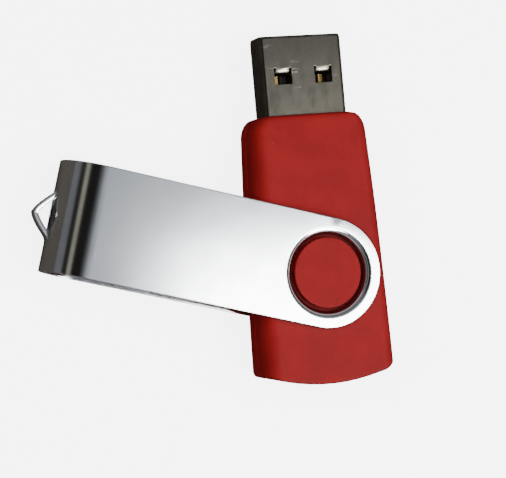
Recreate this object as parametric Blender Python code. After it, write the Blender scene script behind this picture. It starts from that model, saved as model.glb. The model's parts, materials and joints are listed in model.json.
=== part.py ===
"""USB flash drive with a swivel cover.

The frame: X across the plug, Y along the plug towards its mouth, Z up. The origin is the centre of
the lower pivot button's flat face, on the axis that the cover swivels about. Lengths are in metres.
"""

from collections import namedtuple
from math import asin, cos, pi, radians, sin, sqrt

import bmesh
import bpy
from mathutils import Vector

MM = 0.001
GAP = 0.3 * MM

# Plastic body, measured from the swivel axis and from its own middle plane.
BODY_FRONT_Y = 21.9 * MM
BODY_REAR_Y = -15.2 * MM
BODY_REAR_BOW = 1.4 * MM
BODY_HALF_WIDTH_REAR = 9.55 * MM
BODY_HALF_WIDTH_FRONT = 8.35 * MM
BODY_HALF_HEIGHT = 4.6 * MM
BODY_FRONT_DROP = 0.7 * MM
BODY_DROP_START_Y = 6.0 * MM
BODY_WALL = 1.2 * MM
SIDE_ROUND_X = 2.0 * MM
SIDE_ROUND_Z = 3.0 * MM
SHOULDER_X = 1.9 * MM
SHOULDER_Y = 2.6 * MM
REAR_CORNER = 1.0 * MM
FRONT_EDGE_ROUND = 0.8 * MM
REAR_EDGE_ROUND = 0.5 * MM
BODY_STATIONS = 12

# Stepped lip on the lower half that locates the upper one, and the ribs that seat the inner pieces.
LOCATING_LIP_WIDTH = 0.5 * MM
LOCATING_LIP_TOP = 0.8 * MM
LOCATING_LIP_STEP = -0.35 * MM
LOCATING_LIP_FOOT = -1.6 * MM
WALL_OVERLAP = 0.4 * MM
RIB_WIDTH = 0.9 * MM
RIB_OVERLAP = 0.5 * MM
LOWER_RIB_REAR_Y = -11.3 * MM
LOWER_RIB_FRONT_Y = 11.2 * MM
UPPER_RIB_REAR_Y = -11.4 * MM
UPPER_RIB_FRONT_Y = 10.6 * MM
UPPER_RIB_NEAR_X = 5.2 * MM
UPPER_RIB_FAR_X = 6.4 * MM
PLUG_RIB_Y = 17.6 * MM
PLUG_RIB_HALF_WIDTH = 6.6 * MM
PLUG_RIB_ROOT = 3.6 * MM

# Pivot button on each face of the body, and the ring recess that the cover's drawn lip runs in.
BUTTON_RADIUS = 4.8 * MM
BUTTON_HEIGHT = 5.2 * MM
BUTTON_CHAMFER = 0.2 * MM
RECESS_RADIUS = 6.75 * MM
RECESS_FLOOR = 4.15 * MM
BACKING_RADIUS = 7.5 * MM
BACKING_FLOOR = 3.3 * MM
TURNED_SECTIONS = 64

# Swivel cover: one strip of sheet, bent round its closed end.
COVER_OPEN_ANGLE = radians(163.3)
COVER_HALF_WIDTH = 7.52 * MM
COVER_HALF_HEIGHT = 5.6 * MM
COVER_SHEET = 0.7 * MM
COVER_LENGTH = 38.1 * MM
LIP_BEND_CENTRE = 6.3 * MM
LIP_BEND_RADIUS = 0.9 * MM
LIP_BEND_ANGLE = radians(68)
LIP_STRAIGHT = 0.25 * MM
LOOP_HALF_HEIGHT = 1.15 * MM
LOOP_BULGE = 2.5 * MM
LOOP_SLIT = 0.2 * MM
LOOP_POWER = 1.4
LOOP_FIRST_COLUMN = 4
BEND_STEPS = 8

# Plug, to the standard sizes of the rectangular type A connector.
PLUG_HALF_WIDTH = 6.0 * MM
PLUG_HALF_HEIGHT = 2.25 * MM
PLUG_SHEET = 0.3 * MM
PLUG_FRONT_Y = 32.9 * MM
PLUG_REAR_Y = 15.9 * MM
PLUG_CORNER = 0.6 * MM
PLUG_SEAM = 0.15 * MM
MOUTH_PULL = 0.12 * MM
MOUTH_LENGTH = 0.36 * MM
WINDOW_X = 2.95 * MM
WINDOW_HALF_WIDTH = 1.25 * MM
WINDOW_REAR_Y = 26.2 * MM
WINDOW_FRONT_Y = 28.5 * MM
TAB_HALF_WIDTH = 1.0 * MM
TAB_DROP = 1.3 * MM
TAB_REACH = 0.6 * MM
TONGUE_RECESS = 0.7 * MM
TONGUE_TOP = 0.0
TONGUE_ROOT_Y = 20.2 * MM
TONGUE_CHAMFER = 0.3 * MM
CONTACT_X = {"contact_power": 3.5 * MM, "contact_data_minus": 1.0 * MM,
             "contact_data_plus": -1.0 * MM, "contact_ground": -3.5 * MM}
CONTACT_WIDTH = 1.0 * MM
CONTACT_THICKNESS = 0.35 * MM
CONTACT_TOP = -0.1 * MM
CONTACT_TAIL_Y = 13.6 * MM
CONTACT_TIP_DIP = 0.2 * MM
CONTACT_TIP_LENGTH = 0.8 * MM
OUTER_CONTACT_RECESS = 1.3 * MM
INNER_CONTACT_RECESS = 2.3 * MM
CHANNEL_END_RECESS = 0.9 * MM

# Circuit board and what is soldered to it.
BOARD_HALF_WIDTH = 6.5 * MM
BOARD_REAR_Y = -11.8 * MM
BOARD_FRONT_Y = 15.4 * MM
BOARD_TOP = -0.75 * MM
BOARD_THICKNESS = 0.9 * MM
BOARD_BOTTOM = BOARD_TOP - BOARD_THICKNESS
BOARD_CORNER = 0.7 * MM
BOARD_SURFACE = BOARD_TOP + GAP

# leads_x counts the leads along each side that faces X, and leads_y those along each side that faces Y.
Chip = namedtuple("Chip", "x y half_x half_y height leads_x leads_y lead_reach")
FLASH_MEMORY = Chip(0, -0.6 * MM, 5.6 * MM, 8.2 * MM, 1.1 * MM, 0, 12, 0.9 * MM)
CONTROLLER = Chip(0, 5.2 * MM, 3.0 * MM, 3.0 * MM, 1.3 * MM, 8, 8, 0.8 * MM)
REGULATOR = Chip(-4.6 * MM, -0.6 * MM, 0.7 * MM, 1.45 * MM, 1.0 * MM, 3, 0, 0.5 * MM)
LEAD_THICKNESS = 0.18 * MM

CRYSTAL_Y = -4.6 * MM
CRYSTAL_HALF_STRAIGHT = 2.7 * MM
CRYSTAL_RADIUS = 1.75 * MM
CRYSTAL_FLANGE = 0.45 * MM
CRYSTAL_FLANGE_HEIGHT = 0.35 * MM
CRYSTAL_HEIGHT = 3.0 * MM
CRYSTAL_SHOULDER = 0.3 * MM
LED_Y = -9.7 * MM
LED_HALF_SIZE = (0.8 * MM, 0.5 * MM)
LED_HEIGHT = 0.8 * MM
CAPACITOR_PLACES = [(-5.0 * MM, 6.4 * MM), (5.0 * MM, 6.4 * MM), (5.0 * MM, 3.8 * MM), (3.9 * MM, -0.9 * MM)]
RESISTOR_PLACES = [(-5.0 * MM, 3.8 * MM), (4.2 * MM, -9.4 * MM), (-4.2 * MM, -9.4 * MM)]
PASSIVE_HALF_SIZE = (0.4 * MM, 0.8 * MM)
CAPACITOR_HEIGHT = 0.8 * MM
RESISTOR_HEIGHT = 0.45 * MM

# The origin lies on the lower button's face, so the middle plane is one button height above it.
MIDDLE_Z = BUTTON_HEIGHT

RED_PLASTIC = ("red_plastic", (0.36, 0.018, 0.012), 0.45, 0.0)
SATIN_STEEL = ("satin_steel", (0.62, 0.63, 0.65), 0.32, 1.0)
NICKEL_STEEL = ("nickel_steel", (0.33, 0.31, 0.27), 0.35, 1.0)
BLACK_PLASTIC = ("black_plastic", (0.02, 0.02, 0.021), 0.5, 0.0)
GOLD = ("gold_contact", (0.83, 0.58, 0.2), 0.25, 1.0)
BOARD_GREEN = ("board_green", (0.02, 0.16, 0.06), 0.4, 0.0)
CHIP_BLACK = ("chip_black", (0.03, 0.03, 0.032), 0.6, 0.0)
CAN_STEEL = ("can_steel", (0.7, 0.7, 0.68), 0.25, 1.0)
CERAMIC = ("ceramic", (0.45, 0.33, 0.2), 0.5, 0.0)
LED_CLEAR = ("led_clear", (0.75, 0.78, 0.7), 0.2, 0.0)


def clear_scene():
    """Remove every object of the scene."""
    for obj in list(bpy.data.objects):
        bpy.data.objects.remove(obj, do_unlink=True)


def material(finish):
    """Return the Principled material of a (name, colour, roughness, metallic) finish."""
    name, colour, roughness, metallic = finish
    found = bpy.data.materials.get(name)
    if found:
        return found
    made = bpy.data.materials.new(name)
    made.use_nodes = True
    shader = made.node_tree.nodes["Principled BSDF"]
    shader.inputs["Base Color"].default_value = (*colour, 1.0)
    shader.inputs["Roughness"].default_value = roughness
    shader.inputs["Metallic"].default_value = metallic
    made.diffuse_color = (*colour, 1.0)
    return made


def add_empty(name, turn=0.0):
    """Add an empty on the swivel axis, at the middle plane."""
    empty = bpy.data.objects.new(name, None)
    empty.location = (0, 0, MIDDLE_Z)
    empty.rotation_euler = (0, 0, turn)
    bpy.context.scene.collection.objects.link(empty)
    return empty


def add_object(name, mesh_builder, finish, parent):
    """Turn a bmesh into a named object under its empty."""
    mesh = bpy.data.meshes.new(name)
    mesh_builder.to_mesh(mesh)
    mesh_builder.free()
    obj = bpy.data.objects.new(name, mesh)
    bpy.context.scene.collection.objects.link(obj)
    obj.parent = parent
    mesh.materials.append(material(finish))
    return obj


def smooth(obj, angle=35):
    """Shade an object's round surfaces smooth and keep its edges sharp."""
    obj.data.shade_smooth()
    obj.data.set_sharp_from_angle(angle=radians(angle))


def helper(name, mesh_builder, parent):
    """Add a hidden object that shapes another one through a Boolean."""
    obj = add_object(name, mesh_builder, RED_PLASTIC, parent)
    obj.hide_render = True
    obj.display_type = "WIRE"
    return obj


def boolean(obj, operation, other):
    """Cut a helper out of an object, or join it on."""
    modifier = obj.modifiers.new(other.name, "BOOLEAN")
    modifier.operation = operation
    modifier.solver = "EXACT"
    modifier.object = other


def add_box(bm, low, high):
    """Add a closed box between two corners."""
    made = bmesh.ops.create_cube(bm, size=1.0)["verts"]
    for vert in made:
        vert.co = Vector((low[i] + (vert.co[i] + 0.5) * (high[i] - low[i]) for i in range(3)))


def box_mesh(*corners):
    """Return a bmesh of one or more boxes, each given by two corners."""
    bm = bmesh.new()
    for low, high in corners:
        add_box(bm, low, high)
    return bm


def bevelled_box(low, high, width, segments=1):
    """Return a bmesh of a box with every edge bevelled."""
    bm = box_mesh((low, high))
    bmesh.ops.bevel(bm, geom=list(bm.edges), offset=width, segments=segments, profile=0.5,
                    affect="EDGES")
    return bm


def extruded(outline, travel):
    """Return a bmesh of a flat outline of points, extruded by a vector."""
    bm = bmesh.new()
    face = bm.faces.new([bm.verts.new(point) for point in outline])
    made = bmesh.ops.extrude_face_region(bm, geom=[face])["geom"]
    moved = [item for item in made if isinstance(item, bmesh.types.BMVert)]
    bmesh.ops.translate(bm, verts=moved, vec=travel)
    bmesh.ops.recalc_face_normals(bm, faces=bm.faces)
    return bm


def turned(profile, sections=TURNED_SECTIONS, flip=1):
    """Return a bmesh turned about Z from (radius, height) points.

    The points start and end on the axis, or the last one repeats the first one of a ring's section.
    """
    bm = bmesh.new()
    rings = []
    for radius, height in profile:
        if radius == 0:
            rings.append([bm.verts.new((0, 0, height * flip))])
            continue
        turns = [2 * pi * (i + 0.5) / sections for i in range(sections)]
        rings.append([bm.verts.new((radius * cos(t), radius * sin(t), height * flip)) for t in turns])
    for upper, lower in zip(rings, rings[1:]):
        for i in range(sections):
            j = (i + 1) % sections
            corners = [upper[i % len(upper)], lower[i % len(lower)],
                       lower[j % len(lower)], upper[j % len(upper)]]
            bm.faces.new(list(dict.fromkeys(corners)))
    bmesh.ops.remove_doubles(bm, verts=bm.verts, dist=1e-7)
    bmesh.ops.recalc_face_normals(bm, faces=bm.faces)
    return bm


# ---------------------------------------------------------------- moulded body

def half_width(y):
    """Half the body's width at y: it narrows towards the plug, faster near the front."""
    reach = (y - BODY_REAR_Y) / (BODY_FRONT_Y - BODY_REAR_Y)
    return BODY_HALF_WIDTH_REAR - (BODY_HALF_WIDTH_REAR - BODY_HALF_WIDTH_FRONT) * reach ** 1.4


def half_height(y):
    """Half the body's height at y: flat round the pivot, lower towards the plug."""
    reach = max(0.0, (y - BODY_DROP_START_Y) / (BODY_FRONT_Y - BODY_DROP_START_Y))
    return BODY_HALF_HEIGHT - BODY_FRONT_DROP * reach ** 1.6


def quarter_fall(distance, length, depth):
    """How far a rounded end has fallen in, at a distance inside that end."""
    if distance >= length:
        return 0.0
    return depth * (1 - sqrt(max(0.0, 1 - ((length - distance) / length) ** 2)))


def body_stations(inset):
    """Return the y, half width and half height of each cross-section, front to rear."""
    front, rear = BODY_FRONT_Y - inset, BODY_REAR_Y + inset
    steps = [radians(a) for a in (0, 12, 24, 36, 48, 60, 75, 90)]
    offsets = [SHOULDER_Y * (1 - cos(a)) for a in steps]
    ys = [front - d for d in offsets]
    straight = front - SHOULDER_Y - (rear + REAR_CORNER)
    ys += [front - SHOULDER_Y - straight * k / BODY_STATIONS for k in range(1, BODY_STATIONS + 1)]
    ys += [rear + REAR_CORNER * (1 - cos(radians(a))) for a in (68, 45, 22, 0)]
    stations = []
    for y in ys:
        ahead, behind = front - y, y - rear
        wide = half_width(y) - inset
        wide -= quarter_fall(ahead, SHOULDER_Y, SHOULDER_X)
        wide -= quarter_fall(behind, REAR_CORNER, REAR_CORNER)
        high = half_height(y) - inset
        high -= quarter_fall(ahead, FRONT_EDGE_ROUND, FRONT_EDGE_ROUND)
        high -= quarter_fall(behind, REAR_EDGE_ROUND, REAR_EDGE_ROUND)
        stations.append((y, wide, high))
    return stations


def section_points(wide, high, inset, floor):
    """Return the (x, z) points over the top of one cross-section, from +X to -X."""
    round_x = SIDE_ROUND_X - 0.4 * inset
    round_z = min(SIDE_ROUND_Z - 0.4 * inset, high - 2 * floor)
    side = [(wide, floor), (wide, high - round_z)]
    for degrees in (18, 36, 54, 72, 90):
        a = radians(degrees)
        side.append((wide - round_x * (1 - cos(a)), high - round_z * (1 - sin(a))))
    edge = wide - round_x
    flat = [(edge * k / 3, high) for k in (2, 1, 0, -1, -2)]
    return side + flat + [(-x, z) for x, z in reversed(side)]


def body_skin(bm, inset, flip):
    """Add one half of the body's surface, moved in by inset, and return its rows of points."""
    floor = GAP / 2
    rows = []
    for y, wide, high in body_stations(inset):
        bow = max(0.0, min(1.0, y / BODY_REAR_Y))
        row = []
        for x, z in section_points(wide, high, inset, floor):
            bowed = y + BODY_REAR_BOW * bow * (x / BODY_HALF_WIDTH_REAR) ** 2
            row.append(Vector((x, bowed, z * flip)))
        rows.append(row)
    first = [Vector((p.x, p.y, floor * flip)) for p in rows[0]]
    last = [Vector((p.x, p.y, floor * flip)) for p in rows[-1]]
    return [[bm.verts.new(p) for p in row] for row in [first] + rows + [last]]


def skin_edge(skin):
    """Return the points round the open edge of a skin, in order."""
    right = [row[0] for row in skin]
    left = [row[-1] for row in reversed(skin[:-1])]
    return right + skin[-1][1:] + left + skin[0][-2:0:-1]


def body_half(flip):
    """Return the bmesh of one hollow half of the body, open at the parting plane."""
    bm = bmesh.new()
    skins = [body_skin(bm, 0.0, flip), body_skin(bm, BODY_WALL, flip)]
    for skin in skins:
        for row, following in zip(skin, skin[1:]):
            for j in range(len(row) - 1):
                bm.faces.new((row[j], row[j + 1], following[j + 1], following[j]))
    outer, inner = (skin_edge(skin) for skin in skins)
    for i in range(len(outer)):
        j = (i + 1) % len(outer)
        bm.faces.new((outer[i], outer[j], inner[j], inner[i]))
    bmesh.ops.remove_doubles(bm, verts=bm.verts, dist=1e-6)
    bmesh.ops.recalc_face_normals(bm, faces=bm.faces)
    return bm


def rim_outline(inset):
    """Return the body's plan outline at the parting plane, moved in by inset, as a closed loop."""
    right, left = [], []
    for y, wide, _ in body_stations(inset):
        bow = max(0.0, min(1.0, y / BODY_REAR_Y))
        bowed = y + BODY_REAR_BOW * bow * (wide / BODY_HALF_WIDTH_REAR) ** 2
        right.append((wide, bowed))
        left.append((-wide, bowed))
    return right + left[::-1]


def locating_lip():
    """Return the stepped ring on the lower half that stands inside the upper half's wall."""
    embedded, outer = BODY_WALL - WALL_OVERLAP, BODY_WALL + GAP
    inner = outer + LOCATING_LIP_WIDTH
    section = [(embedded, LOCATING_LIP_FOOT), (embedded, LOCATING_LIP_STEP), (outer, LOCATING_LIP_STEP),
               (outer, LOCATING_LIP_TOP), (inner, LOCATING_LIP_TOP), (inner, LOCATING_LIP_FOOT)]
    bm = bmesh.new()
    loops = []
    for inset, z in section:
        loops.append([bm.verts.new((x, y, z)) for x, y in rim_outline(inset)])
    for loop, following in zip(loops, loops[1:] + loops[:1]):
        for i in range(len(loop)):
            j = (i + 1) % len(loop)
            bm.faces.new((loop[i], loop[j], following[j], following[i]))
    bmesh.ops.recalc_face_normals(bm, faces=bm.faces)
    return bm


def pivot_blank(flip):
    """Return the turned blank that the pivot button is cut from, with its backing disc inside."""
    radius, seat = (BUTTON_RADIUS + RECESS_RADIUS) / 2, RECESS_FLOOR - WALL_OVERLAP
    profile = [(0, BUTTON_HEIGHT), (radius, BUTTON_HEIGHT), (radius, seat), (BACKING_RADIUS, seat),
               (BACKING_RADIUS, BACKING_FLOOR), (0, BACKING_FLOOR)]
    return turned(profile, flip=flip)


def recess_cutter(flip):
    """Return the turned ring that cuts the recess and leaves the pivot button standing."""
    above = BUTTON_HEIGHT + WALL_OVERLAP
    rise = above - BUTTON_HEIGHT + BUTTON_CHAMFER
    section = [(BUTTON_RADIUS, RECESS_FLOOR), (BUTTON_RADIUS, BUTTON_HEIGHT - BUTTON_CHAMFER),
               (BUTTON_RADIUS - rise, above), (RECESS_RADIUS, above), (RECESS_RADIUS, RECESS_FLOOR)]
    return turned(section + section[:1], flip=flip)


def plug_opening():
    """Return the cutter for the slot in the front wall that the plug comes out of."""
    x, z = PLUG_HALF_WIDTH + GAP, PLUG_HALF_HEIGHT + GAP
    return box_mesh(((-x, PLUG_REAR_Y - GAP, -z), (x, BODY_FRONT_Y + 2 * MM, z)))


def lower_ribs():
    """Return the ribs that the circuit board and the plug rest on."""
    reach = half_width(0) - BODY_WALL
    floor, top = -BODY_HALF_HEIGHT + BODY_WALL - RIB_OVERLAP, BOARD_BOTTOM - GAP
    corners = []
    for y in (LOWER_RIB_REAR_Y, LOWER_RIB_FRONT_Y):
        corners.append(((-reach, y, floor), (reach, y + RIB_WIDTH, top)))
    corners.append(((-PLUG_RIB_HALF_WIDTH, PLUG_RIB_Y, -PLUG_RIB_ROOT),
                    (PLUG_RIB_HALF_WIDTH, PLUG_RIB_Y + RIB_WIDTH, -PLUG_HALF_HEIGHT - GAP)))
    return box_mesh(*corners)


def upper_ribs():
    """Return the posts that hold the board down, and the rib that holds the plug down."""
    ceiling = BODY_HALF_HEIGHT - BODY_WALL + RIB_OVERLAP / 2
    corners = []
    for left, right in ((-UPPER_RIB_FAR_X, -UPPER_RIB_NEAR_X), (UPPER_RIB_NEAR_X, UPPER_RIB_FAR_X)):
        for y in (UPPER_RIB_REAR_Y, UPPER_RIB_FRONT_Y):
            corners.append(((left, y, BOARD_SURFACE), (right, y + RIB_WIDTH, ceiling)))
    corners.append(((-PLUG_RIB_HALF_WIDTH, PLUG_RIB_Y, PLUG_HALF_HEIGHT + GAP),
                    (PLUG_RIB_HALF_WIDTH, PLUG_RIB_Y + RIB_WIDTH, PLUG_RIB_ROOT)))
    return box_mesh(*corners)


def build_body(parent):
    """Make the two halves of the moulded body."""
    opening = helper("cutter_plug_opening", plug_opening(), parent)
    for name, flip, ribs in (("upper_shell", 1, upper_ribs()), ("lower_shell", -1, lower_ribs())):
        shell = add_object(name, body_half(flip), RED_PLASTIC, parent)
        boolean(shell, "UNION", helper(f"join_{name}_button", pivot_blank(flip), parent))
        boolean(shell, "DIFFERENCE", helper(f"cutter_{name}_recess", recess_cutter(flip), parent))
        boolean(shell, "UNION", helper(f"join_{name}_ribs", ribs, parent))
        if flip < 0:
            boolean(shell, "UNION", helper("join_locating_lip", locating_lip(), parent))
        boolean(shell, "DIFFERENCE", opening)
        smooth(shell, 30)


# ---------------------------------------------------------------- swivel cover

def lip_rings():
    """Return the (radius, height) of each ring of the drawn lip's outer surface, inside out."""
    centre_z = COVER_HALF_HEIGHT - LIP_BEND_RADIUS
    rings = []
    for k in range(6):
        a = LIP_BEND_ANGLE * k / 5
        rings.append((LIP_BEND_CENTRE - LIP_BEND_RADIUS * sin(a), centre_z + LIP_BEND_RADIUS * cos(a)))
    radius, height = rings[-1]
    rings.append((radius - LIP_STRAIGHT * cos(LIP_BEND_ANGLE),
                  height - LIP_STRAIGHT * sin(LIP_BEND_ANGLE)))
    return rings[::-1]


def pivot_end(bm, flip, sections):
    """Add the round end of one leg with its drawn hole, and return the row that the leg grows from."""
    eighth = sections // 8
    turns = [2 * pi * i / sections for i in range(-eighth, sections - eighth)]
    rings = [[bm.verts.new((r * cos(t), r * sin(t), z * flip)) for t in turns]
             for r, z in lip_rings()]
    outline = []
    for t in turns:
        if cos(t) <= 0:
            reach = 1.0
        else:
            reach = 1 / max(cos(t), abs(sin(t)))
        outline.append(bm.verts.new((COVER_HALF_WIDTH * reach * cos(t),
                                     COVER_HALF_WIDTH * reach * sin(t), COVER_HALF_HEIGHT * flip)))
    rings.append(outline)
    for inner, outer in zip(rings, rings[1:]):
        for i in range(sections):
            j = (i + 1) % sections
            bm.faces.new((inner[i], outer[i], outer[j], inner[j]))
    return outline[:2 * eighth + 1]


def bend_row(angle, widths):
    """Return one row of the bend's outer points at an angle above the middle plane."""
    centre = COVER_LENGTH - COVER_HALF_HEIGHT
    u, z = centre + COVER_HALF_HEIGHT * cos(angle), COVER_HALF_HEIGHT * sin(angle)
    return [Vector((u, v, z)) for v in widths]


def add_strip(bm, row, following):
    """Join two rows of points with faces."""
    for j in range(len(row) - 1):
        bm.faces.new((row[j], following[j], following[j + 1], row[j + 1]))


def lanyard_loop(bm, above, below, first, last):
    """Add the lanced strip that stands out of the bend between two rows, as the lanyard's loop."""
    half = LOOP_HALF_HEIGHT - LOOP_SLIT
    steps = 4
    root = abs(above[first].co.y)
    rows = []
    for k in range(steps + 1):
        z = half * (1 - 2 * k / steps)
        angle = asin(z / COVER_HALF_HEIGHT)
        row = []
        for j in range(first, last + 1):
            v = above[j].co.y
            bulge = LOOP_BULGE * (1 - (abs(v) / root) ** LOOP_POWER)
            point = bend_row(angle, [v])[0]
            row.append(bm.verts.new(point + Vector((bulge, 0, 0))))
        rows.append(row)
    for row, following in zip(rows, rows[1:]):
        add_strip(bm, row, following)
    for side, j in ((0, first), (-1, last)):
        wall = [above[j]] + [row[side] for row in rows] + [below[j]]
        outside = j - 1 if side == 0 else j + 1
        bm.faces.new([above[outside]] + wall + [below[outside]])


def build_cover(parent):
    """Make the swivel cover: a U of sheet with two drawn pivot holes and a lanced lanyard loop."""
    bm = bmesh.new()
    upper = pivot_end(bm, 1, TURNED_SECTIONS)
    lower = pivot_end(bm, -1, TURNED_SECTIONS)
    widths = [vert.co.y for vert in upper]
    slot = asin(LOOP_HALF_HEIGHT / COVER_HALF_HEIGHT)
    angles = [pi / 2 - (pi / 2 - slot) * k / BEND_STEPS for k in range(BEND_STEPS + 1)]
    rows = [upper] + [[bm.verts.new(p) for p in bend_row(a, widths)] for a in angles]
    mirrored = [[bm.verts.new(p) for p in bend_row(-a, widths)] for a in reversed(angles)] + [lower]
    for half in (rows, mirrored):
        for row, following in zip(half, half[1:]):
            add_strip(bm, row, following)
    above, below = rows[-1], mirrored[0]
    first, last = LOOP_FIRST_COLUMN, len(widths) - 1 - LOOP_FIRST_COLUMN
    lanyard_loop(bm, above, below, first, last)
    outer_columns = [j for j in range(len(widths) - 1) if j < first - 1 or j > last]
    for j in outer_columns:
        bm.faces.new((above[j], below[j], below[j + 1], above[j + 1]))
    bmesh.ops.recalc_face_normals(bm, faces=bm.faces)
    cover = add_object("swivel_cover", bm, SATIN_STEEL, parent)
    sheet = cover.modifiers.new("sheet", "SOLIDIFY")
    sheet.thickness = COVER_SHEET
    sheet.offset = -1
    sheet.use_even_offset = True
    smooth(cover, 40)


# ---------------------------------------------------------------- plug

def plug_profile():
    """Return the (x, z) points round the plug's sheet, from its seam under the middle."""
    x, z, r = PLUG_HALF_WIDTH, PLUG_HALF_HEIGHT, PLUG_CORNER
    edges = [WINDOW_X - WINDOW_HALF_WIDTH, WINDOW_X - TAB_HALF_WIDTH,
             WINDOW_X + TAB_HALF_WIDTH, WINDOW_X + WINDOW_HALF_WIDTH]
    half = [(PLUG_SEAM / 2, -z)] + [(e, -z) for e in edges]
    half += [(x - r + r * sin(a), -z + r - r * cos(a)) for a in (0, pi / 6, pi / 3, pi / 2)]
    half += [(x - r + r * cos(a), z - r + r * sin(a)) for a in (0, pi / 6, pi / 3, pi / 2)]
    half += [(e, z) for e in reversed(edges)]
    return half + [(-px, pz) for px, pz in reversed(half)]


def window_columns(profile):
    """Return the profile's segments that the four windows take, and the two that carry tabs."""
    cut, tabbed = [], []
    low, high = WINDOW_X - WINDOW_HALF_WIDTH, WINDOW_X + WINDOW_HALF_WIDTH
    for j in range(len(profile) - 1):
        middle = (profile[j][0] + profile[j + 1][0]) / 2
        flat = abs(profile[j][1]) == PLUG_HALF_HEIGHT and profile[j][1] == profile[j + 1][1]
        if flat and low < abs(middle) < high:
            cut.append(j)
            if profile[j][1] > 0 and abs(abs(middle) - WINDOW_X) < 0.1 * MM:
                tabbed.append(j)
    return cut, tabbed


def build_plug_shell(parent):
    """Make the plug's folded sheet with its four windows, two bent tabs and drawn-in mouth."""
    profile = plug_profile()
    cut, tabbed = window_columns(profile)
    ys = [PLUG_REAR_Y, WINDOW_REAR_Y, WINDOW_FRONT_Y, PLUG_FRONT_Y - MOUTH_LENGTH, PLUG_FRONT_Y]
    bm = bmesh.new()
    rows = []
    for y in ys:
        pull = MOUTH_PULL if y == PLUG_FRONT_Y else 0.0
        rows.append([bm.verts.new((x * (1 - pull / PLUG_HALF_WIDTH), y,
                                   z * (1 - pull / PLUG_HALF_HEIGHT))) for x, z in profile])
    for i in range(len(rows) - 1):
        for j in range(len(profile) - 1):
            if i == 1 and j in cut:
                continue
            bm.faces.new((rows[i][j], rows[i][j + 1], rows[i + 1][j + 1], rows[i + 1][j]))
    for j in tabbed:
        root = (rows[2][j], rows[2][j + 1])
        tip = [bm.verts.new(v.co + Vector((0, -TAB_REACH, -TAB_DROP))) for v in root]
        bm.faces.new((root[0], root[1], tip[1], tip[0]))
    bmesh.ops.recalc_face_normals(bm, faces=bm.faces)
    shell = add_object("plug_shell", bm, NICKEL_STEEL, parent)
    sheet = shell.modifiers.new("sheet", "SOLIDIFY")
    sheet.thickness = PLUG_SHEET
    sheet.offset = -1
    sheet.use_even_offset = True
    smooth(shell, 40)


def build_insulator(parent):
    """Make the plug's insulator: a thick root and a tongue with a channel for each contact."""
    x = PLUG_HALF_WIDTH - PLUG_SHEET - GAP
    z = PLUG_HALF_HEIGHT - PLUG_SHEET - GAP
    front, rear, root = PLUG_FRONT_Y - TONGUE_RECESS, PLUG_REAR_Y + GAP, TONGUE_ROOT_Y
    side = [(rear, -z), (front, -z), (front, TONGUE_TOP - TONGUE_CHAMFER),
            (front - TONGUE_CHAMFER, TONGUE_TOP), (root, TONGUE_TOP), (root, z), (rear, z)]
    bm = extruded([(-x, y, height) for y, height in side], (2 * x, 0, 0))
    insulator = add_object("plug_insulator", bm, BLACK_PLASTIC, parent)
    half = CONTACT_WIDTH / 2 + GAP
    floor, open_top = CONTACT_TOP - CONTACT_THICKNESS - GAP, TONGUE_TOP + WALL_OVERLAP
    channels = []
    for cx in CONTACT_X.values():
        channels.append(((cx - half, rear - GAP, floor), (cx + half, front - CHANNEL_END_RECESS, open_top)))
    boolean(insulator, "DIFFERENCE", helper("cutter_contact_channels", box_mesh(*channels), parent))


def build_contacts(parent):
    """Make the four contact strips: the outer two reach further forward, as in the standard."""
    top, low = CONTACT_TOP, CONTACT_TOP - CONTACT_THICKNESS
    for name, cx in CONTACT_X.items():
        outer = abs(cx) == max(CONTACT_X.values())
        recess = OUTER_CONTACT_RECESS if outer else INNER_CONTACT_RECESS
        front = PLUG_FRONT_Y - TONGUE_RECESS - recess
        side = [(CONTACT_TAIL_Y, low), (front, low - CONTACT_TIP_DIP / 2), (front, low + CONTACT_TIP_DIP),
                (front - CONTACT_TIP_LENGTH, top), (CONTACT_TAIL_Y, top)]
        bm = extruded([(cx - CONTACT_WIDTH / 2, y, z) for y, z in side], (CONTACT_WIDTH, 0, 0))
        add_object(name, bm, GOLD, parent)


# ---------------------------------------------------------------- electronics

def build_board(parent):
    """Make the bare circuit board, with its corners cut."""
    x, cut = BOARD_HALF_WIDTH, BOARD_CORNER
    rear, front = BOARD_REAR_Y, BOARD_FRONT_Y
    outline = [(-x + cut, rear), (x - cut, rear), (x, rear + cut), (x, front - cut), (x - cut, front),
               (-x + cut, front), (-x, front - cut), (-x, rear + cut)]
    bm = extruded([(px, py, BOARD_BOTTOM) for px, py in outline], (0, 0, BOARD_THICKNESS))
    add_object("circuit_board", bm, BOARD_GREEN, parent)


def lead_rows(chip):
    """Return (axis, number of leads, half the side they stand along, its middle) of each row of leads."""
    rows = [(0, chip.leads_x, chip.half_y, chip.y), (1, chip.leads_y, chip.half_x, chip.x)]
    return [row for row in rows if row[1]]


def cut_lead_roots(bm, chip, middle):
    """Cut the package's sides where its leads grow out of them."""
    planes = []
    for axis, count, half, origin in lead_rows(chip):
        normal = (0, 1, 0) if axis == 0 else (1, 0, 0)
        pitch = 2 * half / count
        for k in range(count):
            lead = origin - half + pitch * (k + 0.5)
            for edge in (lead - pitch / 4, lead + pitch / 4):
                planes.append(([edge * part for part in normal], normal))
    for height in (middle - LEAD_THICKNESS / 2, middle + LEAD_THICKNESS / 2):
        planes.append(((0, 0, height), (0, 0, 1)))
    for point, normal in planes:
        bmesh.ops.bisect_plane(bm, geom=bm.verts[:] + bm.edges[:] + bm.faces[:], plane_co=point,
                               plane_no=normal)


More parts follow.
